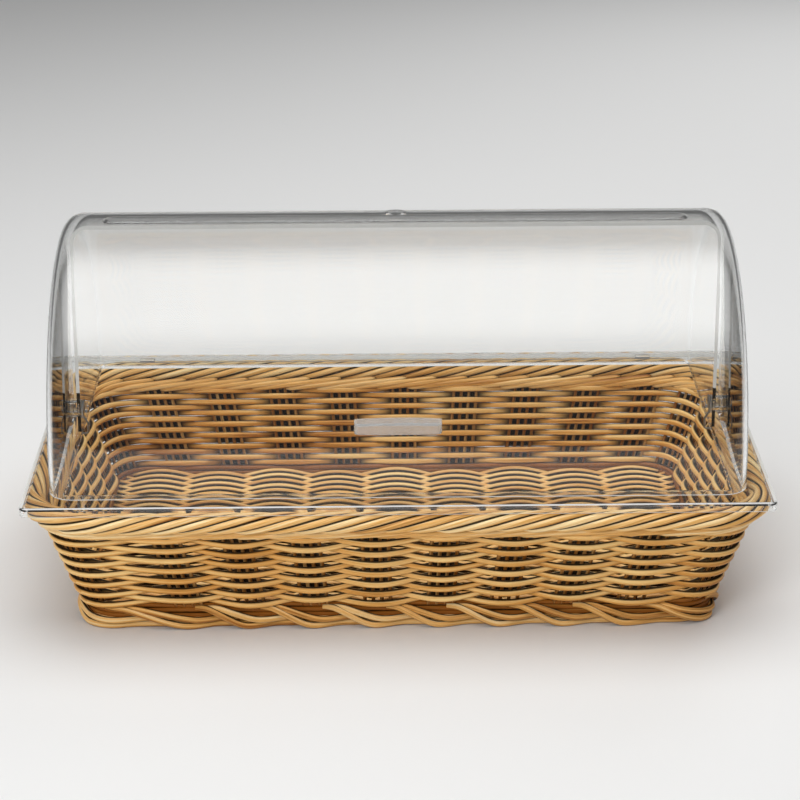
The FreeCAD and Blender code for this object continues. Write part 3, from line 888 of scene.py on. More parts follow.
@dataclass
class RimBorder:
    """Rolled border: many strands wound side by side round the rim like a rope."""

    form: BasketForm
    count: int = 77
    strand_radius: float = 2.4 * MM
    middle_level: float = 90.7 * MM
    middle_out: float = 4.5 * MM
    reach_out: float = 5.6 * MM
    reach_up: float = 5.8 * MM
    strands_round: float = 7.4
    first_degrees: float = -75.0
    last_degrees: float = 255.0
    stations: int = 48
    points: int = 16
    # Unevenness of the rope's strands: ends in degrees, start in pitches, share of the reach
    end_spread: Range = (-5.0, 5.0)
    start_spread: Range = (-0.06, 0.06)
    reach_spread: Range = (-0.03, 0.0)
    tones: Range = (-0.07, 0.09)
    # Strands that follow under the rope: their run in groups, their levels, their places out,
    # the share of these at their ends and the share of height left in their sections
    follower_lanes: int = 2
    follower_run: float = 1.45
    follower_low: float = 79.2 * MM
    follower_high: float = 87.0 * MM
    follower_out: float = 5.2 * MM
    follower_in: float = -5.2 * MM
    follower_ends: float = 0.55
    follower_height: float = 0.94
    follower_stations: int = 22
    follower_points: int = 12
    # Their unevenness: start in groups, lower level in millimetres, tone
    follower_starts: Range = (-0.05, 0.05)
    follower_levels: Range = (-0.3, 0.3)
    follower_tones: Range = (-0.06, 0.06)
    seed: int = 23

    def surface(self) -> Surface:
        """Helices: rim point + out * (middle + a * cos w) + up * b * sin w.

        The angle w grows evenly with the distance along the rim, so strands climb to the right
        on the outside and come down again on the inside.

        Returns:
            The rope's surface.
        """
        random = np.random.default_rng(self.seed)
        ring = self.form.ring_at(self.middle_level)
        lengths = [self.form.side_length(ring, side) for side in range(4)]
        ends = np.concatenate([[0.0], np.cumsum(lengths)])
        pitch = ends[-1] / self.count
        first = np.radians(self.first_degrees + random.uniform(*self.end_spread, self.count))
        last = np.radians(self.last_degrees + random.uniform(*self.end_spread, self.count))
        share = np.linspace(0, 1, self.stations)
        angle = first[:, None] + (last - first)[:, None] * share
        start = pitch * (np.arange(self.count) + random.uniform(*self.start_spread, self.count))
        along = start[:, None] + pitch * self.strands_round * angle / (2 * np.pi)
        turn = np.interp(along % ends[-1], ends, np.arange(5))
        point, outward = self.form.outline(ring, np.where(turn >= 4, turn - 4, turn))
        up = np.broadcast_to(UP, outward.shape)
        uneven = 1 + random.uniform(*self.reach_spread, self.count)[:, None]
        out = self.middle_out + self.reach_out * uneven * np.cos(angle)
        rise = self.reach_up * uneven * np.sin(angle)
        centres = point + outward * out[..., None] + up * rise[..., None]
        radial = outward * np.cos(angle)[..., None] + up * np.sin(angle)[..., None]
        tone = tone_per_strand(random, self.count, self.stations, self.tones)
        section = StrandSection(self.strand_radius, self.strand_radius, points=self.points)
        return strands(centres, radial, section, tone, closed=False)

    def follower_surface(self, inside: bool) -> Surface:
        """Strands laid under the rope, each from its group of stakes past the next one.

        Level = low + rise * share outside, where they climb into the rope, and low + rise *
        (1 - share) inside, where they come down from it. Distance off the wall = bulge *
        (ends + (1 - ends) * sin(pi * share)).

        Args:
            inside: whether they lie on the inside of the wall.

        Returns:
            The followers' surface.
        """
        random = np.random.default_rng(self.seed + (2 if inside else 1))
        groups = self.form.group_count()
        share = np.linspace(0, 1, self.follower_stations)[None, :]
        start = np.arange(groups)[:, None] + random.uniform(*self.follower_starts, (groups, 1))
        bulge = self.follower_in if inside else self.follower_out
        ends = self.follower_ends
        parts = []
        for lane in range(self.follower_lanes):
            place = (start + lane / self.follower_lanes + self.follower_run * share) % groups
            turn = self.form.turn_at(place)
            low = self.follower_low + random.uniform(*self.follower_levels, (groups, 1)) * MM
            rise = self.follower_high - low
            level = low + rise * (1 - share if inside else share)
            point, outward, _ = self.form.wall(turn % 4, level)
            out = bulge * (ends + (1 - ends) * np.sin(np.pi * share))
            centres = point + outward * np.broadcast_to(out, turn.shape)[..., None]
            tone = tone_per_strand(random, groups, self.follower_stations, self.follower_tones)
            section = StrandSection(self.strand_radius, self.strand_radius * self.follower_height,
                                    points=self.follower_points)
            away = -outward if inside else outward
            parts.append(strands(centres, away, section, tone, closed=False))
        return joined(parts)

    def build(self, material: bpy.types.Material) -> None:
        """Make the border.

        Args:
            material: its finish.
        """
        mesh = mesh_from("rim_rope", joined([
            self.surface(), self.follower_surface(False), self.follower_surface(True)]))
        new_piece("rim_rope", mesh, material, Body.BASKET, ["rim_border"])


@dataclass
class FootBorder:
    """Foot: pairs of strands that come over from the inside, drop and run along the table."""

    form: BasketForm
    strand_radius: float = 2.35 * MM
    high: float = 15.4 * MM
    low: float = 2.4 * MM
    inside: float = 0.4 * MM
    outside: float = 4.4 * MM
    tucked: float = -1.0 * MM
    # In gaps between groups: a strand's run, where a pair's first one starts and how far on
    # the second does, and where each of the three steps begins and how long it is
    run: float = 2.0
    first_start: float = 0.12
    second_start: float = 0.16
    drop: Range = (0.1, 0.75)
    come_out: Range = (0.0, 0.42)
    tuck_in: Range = (0.85, 0.5)
    start_spread: Range = (-0.03, 0.03)
    tones: Range = (-0.13, 0.03)
    stations: int = 44
    points: int = 16
    end_share: float = 0.8
    # Closed strands behind the loops: their levels, place out, sway and waves to a side
    ring_levels: tuple[float, ...] = (9.0 * MM, 13.2 * MM, 17.2 * MM)
    ring_out: float = -1.2 * MM
    ring_sway: float = 0.3 * MM
    ring_waves: int = 8
    ring_height: float = 0.9
    # Painted shade: the closed strands lie behind the loops and are darkened by this tone
    ring_shade_tone: float = -0.3
    ring_stations: int = 300
    ring_points: int = 14
    seed: int = 31

    def surface(self) -> Surface:
        """Two strands a group: level and distance out are smooth steps of the place along it.

        Level falls from high to low over the first gap. Distance out goes from inside to
        outside over the first third of a gap, and back to tucked over the second gap.

        Returns:
            The loops' surface.
        """
        def step(share: Array, over: Range) -> Array:
            """Smooth step that begins at one place and is this long."""
            return smooth_step((share - over[0]) / over[1])

        random = np.random.default_rng(self.seed)
        groups = self.form.group_count()
        shape = (groups, self.stations)
        parts = []
        for upper in (0, 1):
            share = np.linspace(0, self.run, self.stations)[None, :]
            start = np.arange(groups)[:, None] + self.first_start + self.second_start * upper
            place = (start + share + random.uniform(*self.start_spread, (groups, 1))) % groups
            point, outward = self.form.outline(self.form.foot, self.form.turn_at(place) % 4)
            rest = self.low + 2 * self.strand_radius * upper
            level = self.high + (rest - self.high) * step(share, self.drop)
            out = (self.inside + (self.outside - self.inside) * step(share, self.come_out)
                   + (self.tucked - self.outside) * step(share, self.tuck_in))
            centres = point + outward * np.broadcast_to(out, shape)[..., None]
            centres[..., 2] = np.broadcast_to(level, shape)
            tone = tone_per_strand(random, groups, self.stations, self.tones)
            section = StrandSection(self.strand_radius, self.strand_radius, points=self.points)
            parts.append(strands(centres, outward, section, tone, closed=False,
                                 end_share=self.end_share))
        return joined(parts)

    def ring_surface(self) -> Surface:
        """Closed strands behind the loops, on which the lowest row lies, in a dark tone of painted
        shade.

        Point = foot outline + ring_out outward, at a level that sways by a small sine.

        Returns:
            The closed strands' surface.
        """
        turn = np.linspace(0, 4, self.ring_stations, endpoint=False)
        point, outward = self.form.outline(self.form.foot, turn)
        shape = (len(self.ring_levels), self.ring_stations)
        centres = np.broadcast_to(point + outward * self.ring_out, (*shape, 3)).copy()
        for number, level in enumerate(self.ring_levels):
            centres[number, :, 2] = level + self.ring_sway * np.sin(
                np.pi * (turn * self.ring_waves + number))
        section = StrandSection(self.strand_radius, self.strand_radius * self.ring_height,
                                points=self.ring_points)
        return strands(centres, np.broadcast_to(outward, centres.shape), section,
                       np.full(shape, self.ring_shade_tone), closed=True)

    def build(self, material: bpy.types.Material) -> None:
        """Make the foot."""
        mesh = mesh_from("foot_strands", joined([self.surface(), self.ring_surface()]))
        new_piece("foot_strands", mesh, material, Body.BASKET, ["foot_border"])


@dataclass
class BasketFloor:
    """Woven floor: strands along the basket over and under groups of sticks across it."""

    form: BasketForm
    level: float = 13.0 * MM
    inset: float = 4.2 * MM
    points: int = 12
    end_share: float = 0.8
    stick_groups: int = 9
    group_pitch: float = 47.8 * MM
    sticks_per_group: int = 4
    stick_pitch: float = 6.1 * MM
    stick_radius: float = 1.5 * MM
    stick_stations: int = 8
    stick_tones: Range = (-0.1, 0.04)
    strand_radius: float = 2.25 * MM
    strand_height: float = 1.05
    strand_pitch: float = 5.4 * MM
    strand_tones: Range = (0.0, 0.12)
    swing: float = 3.95 * MM
    swing_spread: Range = (-0.05, 0.03)
    # Sideways sway of the strands: how far, radians to a metre and range of its start
    sway: float = 0.25 * MM
    sway_rate: float = 40.0
    sway_starts: Range = (0.0, 6.0)
    stations: int = 110
    seed: int = 41

    def reach(self, across: Array, half: float, depth: float) -> Array:
        """How far the floor reaches from its middle line.

        The corners are quarter circles: depth - corner + sqrt(corner^2 - past^2).

        Args:
            across: distance off the middle line.
            half: half of the floor's size in that direction.
            depth: half of its size in the other direction.

        Returns:
            The reach at each distance.
        """
        corner = self.form.foot.corner - self.inset
        past = np.clip(np.abs(across) - (half - corner), 0, corner)
        return depth - corner + np.sqrt(corner ** 2 - past ** 2)

    def strand_surface(self) -> Surface:
        """Strands: level + swing * cos(pi * (x / pitch + number)), so neighbours alternate.

        Returns:
            The strands' surface.
        """
        random = np.random.default_rng(self.seed)
        half = self.form.foot.half_length - self.inset
        depth = self.form.foot.half_width - self.inset
        count = int(2 * (depth - self.strand_radius) / self.strand_pitch) + 1
        number = np.arange(count)
        y = (number - (count - 1) / 2) * self.strand_pitch
        reach = self.reach(y, depth, half)
        x = reach[:, None] * np.linspace(-1, 1, self.stations)[None, :]
        swing = self.swing * (1 + random.uniform(*self.swing_spread, (count, 1)))
        z = self.level + swing * np.cos(np.pi * (x / self.group_pitch + number[:, None]))
        sway = self.sway * np.sin(
            x * self.sway_rate + random.uniform(*self.sway_starts, (count, 1)))
        centres = np.stack([x, y[:, None] + sway, z], axis=-1)
        tone = tone_per_strand(random, count, self.stations, self.strand_tones)
        section = StrandSection(self.strand_radius, self.strand_radius * self.strand_height,
                                points=self.points)
        return strands(centres, np.broadcast_to(UP, centres.shape), section, tone, closed=False,
                       lane=(z - self.level) / self.swing, end_share=self.end_share)

    def stick_surface(self) -> Surface:
        """Straight sticks in groups across the floor.

        Returns:
            The sticks' surface.
        """
        random = np.random.default_rng(self.seed + 1)
        groups = (np.arange(self.stick_groups) - (self.stick_groups - 1) / 2) * self.group_pitch
        numbers = np.arange(self.sticks_per_group) - (self.sticks_per_group - 1) / 2
        x = (groups[:, None] + numbers[None, :] * self.stick_pitch).ravel()
        reach = self.reach(x, self.form.foot.half_length - self.inset,
                           self.form.foot.half_width - self.inset)
        y = reach[:, None] * np.linspace(-1, 1, self.stick_stations)[None, :]
        centres = np.stack([np.broadcast_to(x[:, None], y.shape), y,
                            np.full_like(y, self.level)], axis=-1)
        tone = tone_per_strand(random, len(x), self.stick_stations, self.stick_tones)
        section = StrandSection(self.stick_radius, self.stick_radius, points=self.points)
        return strands(centres, np.broadcast_to(UP, centres.shape), section, tone, closed=False,
                       end_share=self.end_share)

    def build(self, strand: bpy.types.Material, stick: bpy.types.Material) -> None:
        """Make the floor's strands and sticks.

        Args:
            strand: finish of the strands.
            stick: finish of the sticks.
        """
        mesh = mesh_from("floor_strands", self.strand_surface())
        new_piece("floor_strands", mesh, strand, Body.BASKET, ["floor_weave"])
        mesh = mesh_from("round_floor_sticks", self.stick_surface())
        new_piece("round_floor_sticks", mesh, stick, Body.BASKET, ["floor_sticks"])


# The roll-top cover


@dataclass(frozen=True)
class DrumProfile:
    """Half section of a drum: a straight barrel, a rounded rim and an end wall to the hub."""

    reach: float
    radius: float
    rounding: float
    hub_reach: float
    hub_radius: float
    arc_steps: int = 10
    wall_steps: int = 10

    def along(self, barrel: Array) -> tuple[Array, Array]:
        """Distances along and off the axis, from the left hub over the barrel to the right hub.

        On the rim x = edge + rounding * sin a and r = radius - rounding * (1 - cos a).

        Args:
            barrel: places along the barrel, as shares of its half length from -1 to 1.

        Returns:
            x and r of every point of the profile.
        """
        edge = self.reach - self.rounding
        angle = np.linspace(0, np.pi / 2, self.arc_steps + 1)[1:]
        rim_x = edge + self.rounding * np.sin(angle)
        rim_r = self.radius - self.rounding * (1 - np.cos(angle))
        share = np.linspace(0, 1, self.wall_steps + 1)[1:]
        wall_x = self.reach + (self.hub_reach - self.reach) * share
        wall_r = rim_r[-1] + (self.hub_radius - rim_r[-1]) * share
        end_x, end_r = np.concatenate([rim_x, wall_x]), np.concatenate([rim_r, wall_r])
        x = np.concatenate([-end_x[::-1], edge * barrel, end_x])
        r = np.concatenate([end_r[::-1], np.full(len(barrel), self.radius), end_r])
        return x, r


@dataclass(frozen=True)
class Hub:
    """How an end wall closes round the axis."""

    # Rings between the outer and inner boundary, as distance along and off the axis
    rings: tuple[tuple[float, float], ...]
    # The boundary beyond the sweep: its angles and its distances off the axis
    angles: Array
    radii: Array


def swept_shell(axis: float, outer: tuple[Array, Array], inner: tuple[Array, Array],
                share: Array, first: Callable[[Array], Array], last: Callable[[Array], Array],
                hub: Hub, relief: Callable[[Array, Array], Array] | None = None) -> Surface:
    """A closed wall swept about the cover's axis between two flat cuts.

    Point = (x, -r cos t, axis + r sin t), where t runs from first(r) to last(r), so that each cut
    is a plane. The hub's rings close each end wall round its bore.

    Args:
        axis: level of the axis.
        outer: the outside profile.
        inner: the inside profile, with as many points.
        share: places round the sweep, from 0 to 1.
        first: angle of the first cut at a distance off the axis.
        last: angle of the last cut.
        hub: the rings and the boundary round the axis.
        relief: height raised on the outside, from x and y.

    Returns:
        The shell's surface, whose hub points still lie double.
    """
    def turned(x: Array, r: Array, angle: Array) -> Array:
        """Points at a distance along the axis, a distance off it and an angle about it."""
        return np.stack(np.broadcast_arrays(
            x, -r * np.cos(angle), axis + r * np.sin(angle)), axis=-1)

    sheets, edge_angles = [], []
    for x, r in (outer, inner):
        low, high = first(r)[:, None], last(r)[:, None]
        angle = low + (high - low) * share[None, :]
        spread = np.broadcast_to(r[:, None], angle.shape)
        if relief is not None and x is outer[0]:
            spread = spread + relief(x[:, None], -spread * np.cos(angle))
        sheets.append(turned(x[:, None], spread, angle))
        edge_angles.append(angle[0])
    rows, columns = sheets[0].shape[:2]
    quads = grid_faces(rows, columns, False, False)
    total = rows * columns
    blocks = [quads, quads[:, ::-1] + total]
    row = np.arange(rows - 1) * columns
    for column, flip in ((0, 1), (columns - 1, -1)):
        near = row + column
        strip = np.stack([near, near + columns, near + columns + total, near + total], axis=-1)
        blocks.append(strip[:, ::flip])
    points = [sheets[0].reshape(-1, 3), sheets[1].reshape(-1, 3)]
    count = 2 * total
    around = np.concatenate([edge_angles[0], hub.angles])
    for side in (-1, 1):
        rings = [(outer[0][-1], None), *hub.rings, (inner[0][-1], None)]
        loops = []
        for reach, radius in rings:
            edge = np.concatenate([np.full(columns, outer[1][-1]), hub.radii])
            ring = edge if radius is None else np.full(len(around), radius)
            loops.append(turned(side * reach, ring, around))
        points.append(np.concatenate(loops))
        wide = len(around)
        faces = grid_faces(len(rings), wide, False, True)
        open_run = np.arange(columns - 1, wide)
        rim = np.stack([open_run, (open_run + 1) % wide,
                        (open_run + 1) % wide + (len(rings) - 1) * wide,
                        open_run + (len(rings) - 1) * wide], axis=-1)
        # The rim runs the other way round, and the left end is the mirror of the right one
        for faces_block, flip in ((faces, side), (rim, -side)):
            blocks.append(faces_block[:, ::flip] + count)
        count += len(rings) * wide
    return Surface(np.concatenate(points), blocks)


def flat_cut(start: float, offset: float) -> Callable[[Array], Array]:
    """Angle of a flat cut that passes the axis at a distance: start + arcsin(offset / r)."""
    return lambda r: start + np.arcsin(np.clip(offset / r, -1, 1))


def welded(name: str, surface: Surface) -> bpy.types.Mesh:
    """A closed mesh from a surface whose patches meet point on point.

    Args:
        name: name of the mesh.
        surface: the patches.

    Returns:
        The welded mesh with its faces outwards.
    """
    mesh = mesh_from(name, surface)
    work = bmesh.new()
    work.from_mesh(mesh)
    bmesh.ops.remove_doubles(work, verts=work.verts, dist=WELD_REACH)
    bmesh.ops.recalc_face_normals(work, faces=work.faces)
    open_edges = sum(1 for edge in work.edges if not edge.is_manifold)
    if open_edges:
        LOG.warning("%s has %d open edges", name, open_edges)
    work.to_mesh(mesh)
    work.free()
    mesh.set_sharp_from_angle(angle=SHARP_ANGLE)
    return mesh


def rounded_loop(half_x: float, half_y: float, corner: float, level: float) -> Array:
    """Points of a rounded rectangle: a quarter arc about each corner's middle, in turn.

    Args:
        half_x: half length.
        half_y: half width.
        corner: radius of the corners.
        level: height of every point.

    Returns:
        The points, as points x 3.
    """
    angle = np.linspace(0, np.pi / 2, CORNER_STEPS + 1)
    parts = []
    for quarter, (sign_x, sign_y) in enumerate(((1, 1), (-1, 1), (-1, -1), (1, -1))):
        turned = angle + quarter * np.pi / 2
        x = sign_x * (half_x - corner) + corner * np.cos(turned)
        y = sign_y * (half_y - corner) + corner * np.sin(turned)
        parts.append(np.stack([x, y, np.full_like(x, level)], axis=-1))
    return np.concatenate(parts)


def united(name: str, meshes: Sequence[bpy.types.Mesh]) -> bpy.types.Mesh:
    """One closed mesh from several that reach into each other.

    Args:
        name: name of the new mesh.
        meshes: the closed meshes.

    Returns:
        Their union, shaded smooth between its sharp edges.
    """
    holders = [placed(name + "_part", mesh) for mesh in meshes]
    for tool in holders[1:]:
        joint = holders[0].modifiers.new("unite", "BOOLEAN")
        joint.operation = "UNION"
        joint.solver = "EXACT"
        joint.object = tool
    bpy.context.view_layer.update()
    graph = bpy.context.evaluated_depsgraph_get()
    mesh = bpy.data.meshes.new_from_object(holders[0].evaluated_get(graph))
    mesh.name = name
    for holder in holders:
        bpy.data.objects.remove(holder)
    mesh.polygons.foreach_set("use_smooth", np.ones(len(mesh.polygons), dtype=bool))
    mesh.set_sharp_from_angle(angle=SHARP_ANGLE)
    return mesh


def light_edges(piece: bpy.types.Object, edge: bpy.types.Material,
                chosen: Callable[[Array, Array], Array]) -> None:
    """Give a second finish to the faces that a test on their middles and directions picks.

    Args:
        piece: the moulding.
        edge: finish of its edges.
        chosen: takes middles and directions as faces x 3, and gives True for edge faces.
    """
    mesh = piece.data
    count = len(mesh.polygons)
    middles, directions = np.empty(3 * count), np.empty(3 * count)
    mesh.polygons.foreach_get("center", middles)
    mesh.polygons.foreach_get("normal", directions)
    picked = chosen(middles.reshape(-1, 3), directions.reshape(-1, 3))
    mesh.materials.append(edge)
    mesh.polygons.foreach_set("material_index", picked.astype(np.int32))
    LOG.info("%s: %d lit edge faces", piece.name, int(picked.sum()))


def even_shading(piece: bpy.types.Object) -> None:
    """Let large flat faces keep their own direction beside small rounded ones.

    Args:
        piece: the moulding.
    """
    weighting = piece.modifiers.new("even_shading", "WEIGHTED_NORMAL")
    weighting.keep_sharp = True
    weighting.weight = FACE_WEIGHT


@dataclass
class RollTop:
    """Clear cover: a fixed rear shell on a flange, and a lid that rolls back over it."""

    wall: float = 2.5 * MM
    # How far the lid reaches behind the axis, and the fixed shell in front of it
    lap_rear: float = 12.5 * MM
    lap_front: float = 13.0 * MM
    lid_rounding: float = 18.0 * MM
    shell_gap: float = 1.9 * MM
    end_gap: float = 5.2 * MM
    hub_radius: float = 14.0 * MM
    hub_stand: float = 4.5 * MM
    boss_radius: float = 7.0 * MM

    # Stations along the lid's barrel: evenly, and closer at both ends of the bead and at the
    # round mark; and stations round its sweep, closer near the bead
    barrel_runs: tuple[tuple[float, float, int], ...] = (
        (-1.0, 1.0, 49), (-0.945, -0.885, 16), (0.885, 0.945, 16), (-0.042, 0.042, 22))
    sweep_runs: tuple[tuple[float, float, int], ...] = ((0.0, 0.885, 64), (0.885, 1.0, 44))
    hub_steps: int = 22
    # Stations of the fixed shell: along its barrel, round its sweep, and below the axis along
    # its end walls' lower edge and up their front edge
    base_barrel_steps: int = 33
    base_sweep_steps: int = 73
    base_run_steps: int = 12
    base_rise_steps: int = 16

    # Long bead and round mark on top of the lid
    bead_half: float = 212.0 * MM
    bead_middle: float = -10.0 * MM
    bead_round: float = 5.9 * MM
    bead_half_width: float = 6.0 * MM
    mark_radius: float = 7.5 * MM
    mark_rear: float = 2.5 * MM
    relief_height: float = 1.2 * MM
    relief_slope: float = 1.1 * MM

    # Flange: its plate and skirt, the rounding of its upper edge and the margin beside that
    # rounding, the bevel of the skirt's lower edge, and how far the fixed shell sinks into it
    flange_thickness: float = 3.0 * MM
    skirt_height: float = 7.0 * MM
    skirt_wall: float = 2.4 * MM
    skirt_bevel: float = 0.5 * MM
    flange_round: float = 6.0 * MM
    flange_soft: float = 0.9 * MM
    flange_margin: float = 0.6 * MM
    window: tuple[float, float] = (236.0 * MM, 137.0 * MM)
    window_corner: float = 1.5 * MM
    sink: float = 2.0 * MM

    # What counts as an edge that gathers light: how steep a rounding's faces are, how far from
    # the outline and above the flange they lie, the same for the skirt's lower edge, how far a
    # cut's faces turn and lie off its plane, and where the cuts begin: for the fixed shell so
    # far above the axis, for the lid so far outside its hubs
    rounding_slants: Range = (0.2, 0.98)
    rounding_reach: float = 1.2 * MM
    rounding_level: float = 0.05 * MM
    under_level: float = 0.02 * MM
    under_slant: float = 0.9
    cut_slant: float = 0.995
    cut_level: float = 0.1 * MM
    cut_reach: float = 0.5 * MM
    base_cut_start: float = 20 * MM
    lid_cut_start: float = 3 * MM

    # Stops on which the open lid rests: half sizes, corner, place, and the inset and the level
    # above the flange of each loop
    stop_half: tuple[float, float] = (6.0 * MM, 3.25 * MM)
    stop_corner: float = 1.0 * MM
    stop_place: tuple[float, float] = (200.0 * MM, 146.75 * MM)
    stop_loops: tuple[tuple[float, float], ...] = (
        (0.0, -1.5 * MM), (0.0, 1.1 * MM), (0.4 * MM, 1.5 * MM))

    pin_radius: float = 4.0 * MM
    pin_play: float = 0.05 * MM
    pin_head: float = 2.0 * MM
    pin_soft: float = 0.35 * MM
    pin_tail: float = 4.0 * MM
    pin_tip: float = 0.02 * MM
    pin_points: int = 32

    # Finger pull: walls, bow, corners, play against the lid, soft edge, stations along its
    # straight run and round a corner, and half the step where the hollow ends
    pull_wall: float = 2.5 * MM
    pull_bow: float = 0.9 * MM
    pull_corner: float = 4.0 * MM
    pull_seat: float = 0.15 * MM
    pull_soft: float = 0.6 * MM
    pull_straight_steps: int = 10
    pull_corner_steps: int = 9
    pull_step: float = 0.03 * MM

    # Clips: wire radius, distance inside the window, hook, end play, stations, and bends
    clip_wire: float = 0.8 * MM
    clip_inset: float = 4.0 * MM
    clip_hook: float = 1.5 * MM
    clip_play: float = 0.1 * MM
    clip_stations: int = 60
    clip_points: int = 10
    clip_end: float = 0.9
    clip_bend: float = 0.6
    clip_drop: float = 2.2
    clip_out: Place = (0.3, 0.9, 0.3)

    def __post_init__(self) -> None:
        """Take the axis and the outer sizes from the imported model."""
        hinge = next(joint for joint in frame["joints"] if joint["name"] == "lid_roll")
        self.axis = float(hinge["pos_m"][2])
        low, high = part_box("roll_lid")
        self.lid_hub_reach = high.x
        self.lid_reach = high.x - self.hub_stand
        self.lid_radius = -low.y
        self.lid_bottom = low.z
        low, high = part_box("cover_base")
        self.flange = (high.x, high.y)
        self.skirt_bottom = low.z
        self.flange_top = low.z + self.skirt_height

    def relief(self, x: Array, y: Array) -> Array:
        """Height of the long bead and the round mark: a smooth step over their outlines.

        Args:
            x: distance along the lid.
            y: distance to the rear.

        Returns:
            The height raised there.
        """
        past_x = np.maximum(np.abs(x) - (self.bead_half - self.bead_round), 0)
        past_y = np.maximum(
            np.abs(y - self.bead_middle) - (self.bead_half_width - self.bead_round), 0)
        bead = self.bead_round - np.hypot(past_x, past_y)
        mark = self.mark_radius - np.hypot(x, y - self.mark_rear)
        return self.relief_height * smooth_step(
            np.maximum(bead, mark) / self.relief_slope + 0.5)

    def lid_surface(self) -> Surface:
        """The outer shell with its hubs, bead and round mark.

        Returns:
            The lid's surface.
        """
        inner_reach = self.lid_reach - self.wall
        dense = np.concatenate([np.linspace(*run) for run in self.barrel_runs])
        barrel = np.unique(np.round(dense, 5))
        outer = DrumProfile(self.lid_reach, self.lid_radius, self.lid_rounding,
                            self.lid_hub_reach, self.hub_radius).along(barrel)
        inner = DrumProfile(inner_reach, self.lid_radius - self.wall,
                            self.lid_rounding - self.wall, inner_reach,
                            self.hub_radius).along(barrel)
        first = flat_cut(0.0, self.lid_bottom - self.axis)
        last = flat_cut(np.pi / 2, self.lap_rear)
        share = np.unique(np.concatenate([np.linspace(*run) for run in self.sweep_runs]))
        beyond = np.linspace(float(last(self.hub_radius)),
                             float(first(self.hub_radius)) + 2 * np.pi, self.hub_steps)[1:-1]
        bore = self.pin_radius + self.pin_play
        hub = Hub(((self.lid_hub_reach, bore), (inner_reach, bore)), beyond,
                  np.full(len(beyond), self.hub_radius))
        return swept_shell(self.axis, outer, inner, share, first, last, hub, self.relief)

    def base_surface(self) -> Surface:
        """The fixed rear shell with its bosses; its lower edge is sunk into the flange.

        Returns:
            The shell's surface.
        """
        reach = self.lid_reach - self.wall - self.end_gap
        radius = self.lid_radius - self.wall - self.shell_gap
        rounding = self.lid_rounding - self.wall - self.shell_gap
        drop = self.axis - self.flange_top + self.sink
        corner = math.hypot(self.lap_front, drop)
        barrel = np.linspace(-1, 1, self.base_barrel_steps)
        outer = DrumProfile(reach, radius, rounding, reach, corner).along(barrel)
        inner = DrumProfile(reach - self.wall, radius - self.wall, rounding - self.wall,
                            reach - self.wall, corner).along(barrel)
        first, last = flat_cut(np.pi / 2, -self.lap_front), flat_cut(np.pi, drop)
        start, end = float(last(corner)), float(first(corner)) + 2 * np.pi
        low_corner = 2 * np.pi - math.atan2(drop, self.lap_front)
        beyond = np.concatenate([np.linspace(start, low_corner, self.base_run_steps)[1:],
                                 np.linspace(low_corner, end, self.base_rise_steps)[1:-1]])
        # Distances to the end wall's front and lower edges; tiny cosines keep them finite
        forward = np.maximum(np.cos(beyond), 1e-6)
        downward = np.maximum(-np.sin(beyond), 1e-6)
        radii = np.minimum(np.minimum(self.lap_front / forward, drop / downward), corner)
        boss_reach = self.lid_reach - self.wall - 2 * self.pin_play
        hub = Hub(((reach, self.boss_radius), (boss_reach, self.boss_radius),
                   (boss_reach, self.pin_radius), (reach - self.wall, self.pin_radius)),
                  beyond, radii)
        share = np.linspace(0, 1, self.base_sweep_steps)
        return swept_shell(self.axis, outer, inner, share, first, last, hub)

    def flange_surface(self) -> Surface:
        """Flat rim and skirt: loops of a rounded rectangle, joined round the section.

        Returns:
            The flange's surface.
        """
        half_x, half_y = self.flange
        top, under = self.flange_top, self.flange_top - self.flange_thickness
        soft, near, bevel = self.flange_soft, SOFT_SHARE * self.flange_soft, self.skirt_bevel
        # Inset from the outer edge and level of each loop, up the skirt and in over the top
        outside = [(bevel, self.skirt_bottom), (0.0, self.skirt_bottom + bevel),
                   (0.0, top - soft), (near, top - near), (soft, top),
                   (soft + self.flange_margin, top)]
        loops = [rounded_loop(half_x - inset, half_y - inset, self.flange_round - inset, level)
                 for inset, level in outside]
        for level in (top, under):
            loops.append(rounded_loop(*self.window, self.window_corner, level))
        for level in (under, self.skirt_bottom):
            loops.append(rounded_loop(half_x - self.skirt_wall, half_y - self.skirt_wall,
                                      self.flange_round - self.skirt_wall, level))
        faces = grid_faces(len(loops), len(loops[0]), True, True)
        return Surface(np.concatenate(loops), [faces])

    def base_edges(self, middle: Array, direction: Array) -> Array:
        """Faces on the flange's outer roundings and on the rear shell's front cut.

        Args:
            middle: middles of the faces.
            direction: directions of the faces.

        Returns:
            True for each edge face.
        """
        half_x, half_y = self.flange
        outside = np.maximum(np.abs(middle[:, 0]) - half_x, np.abs(middle[:, 1]) - half_y)
        steep = np.abs(direction[:, 2])
        slanting = (steep > self.rounding_slants[0]) & (steep < self.rounding_slants[1])
        low = middle[:, 2] < self.flange_top + self.rounding_level
        rounding = low & slanting & (outside > -self.rounding_reach)
        under = ((middle[:, 2] < self.skirt_bottom + self.under_level)
                 & (direction[:, 2] < -self.under_slant))
        cut = ((direction[:, 1] < -self.cut_slant)
               & (middle[:, 2] > self.axis + self.base_cut_start))
        return rounding | under | cut

    def lid_edges(self, middle: Array, direction: Array) -> Array:
        """Faces of the lid's two flat cuts, below at the front and behind its top.

        Args:
            middle: middles of the faces.
            direction: directions of the faces.

        Returns:
            True for each edge face.
        """
        radius = np.hypot(middle[:, 1], middle[:, 2] - self.axis)
        far = radius > self.hub_radius + self.lid_cut_start
        below = ((direction[:, 2] < -self.cut_slant)
                 & (middle[:, 2] < self.lid_bottom + self.cut_level))
        behind = ((direction[:, 1] > self.cut_slant)
                  & (np.abs(middle[:, 1] - self.lap_rear) < self.cut_reach))
        return far & (below | behind)

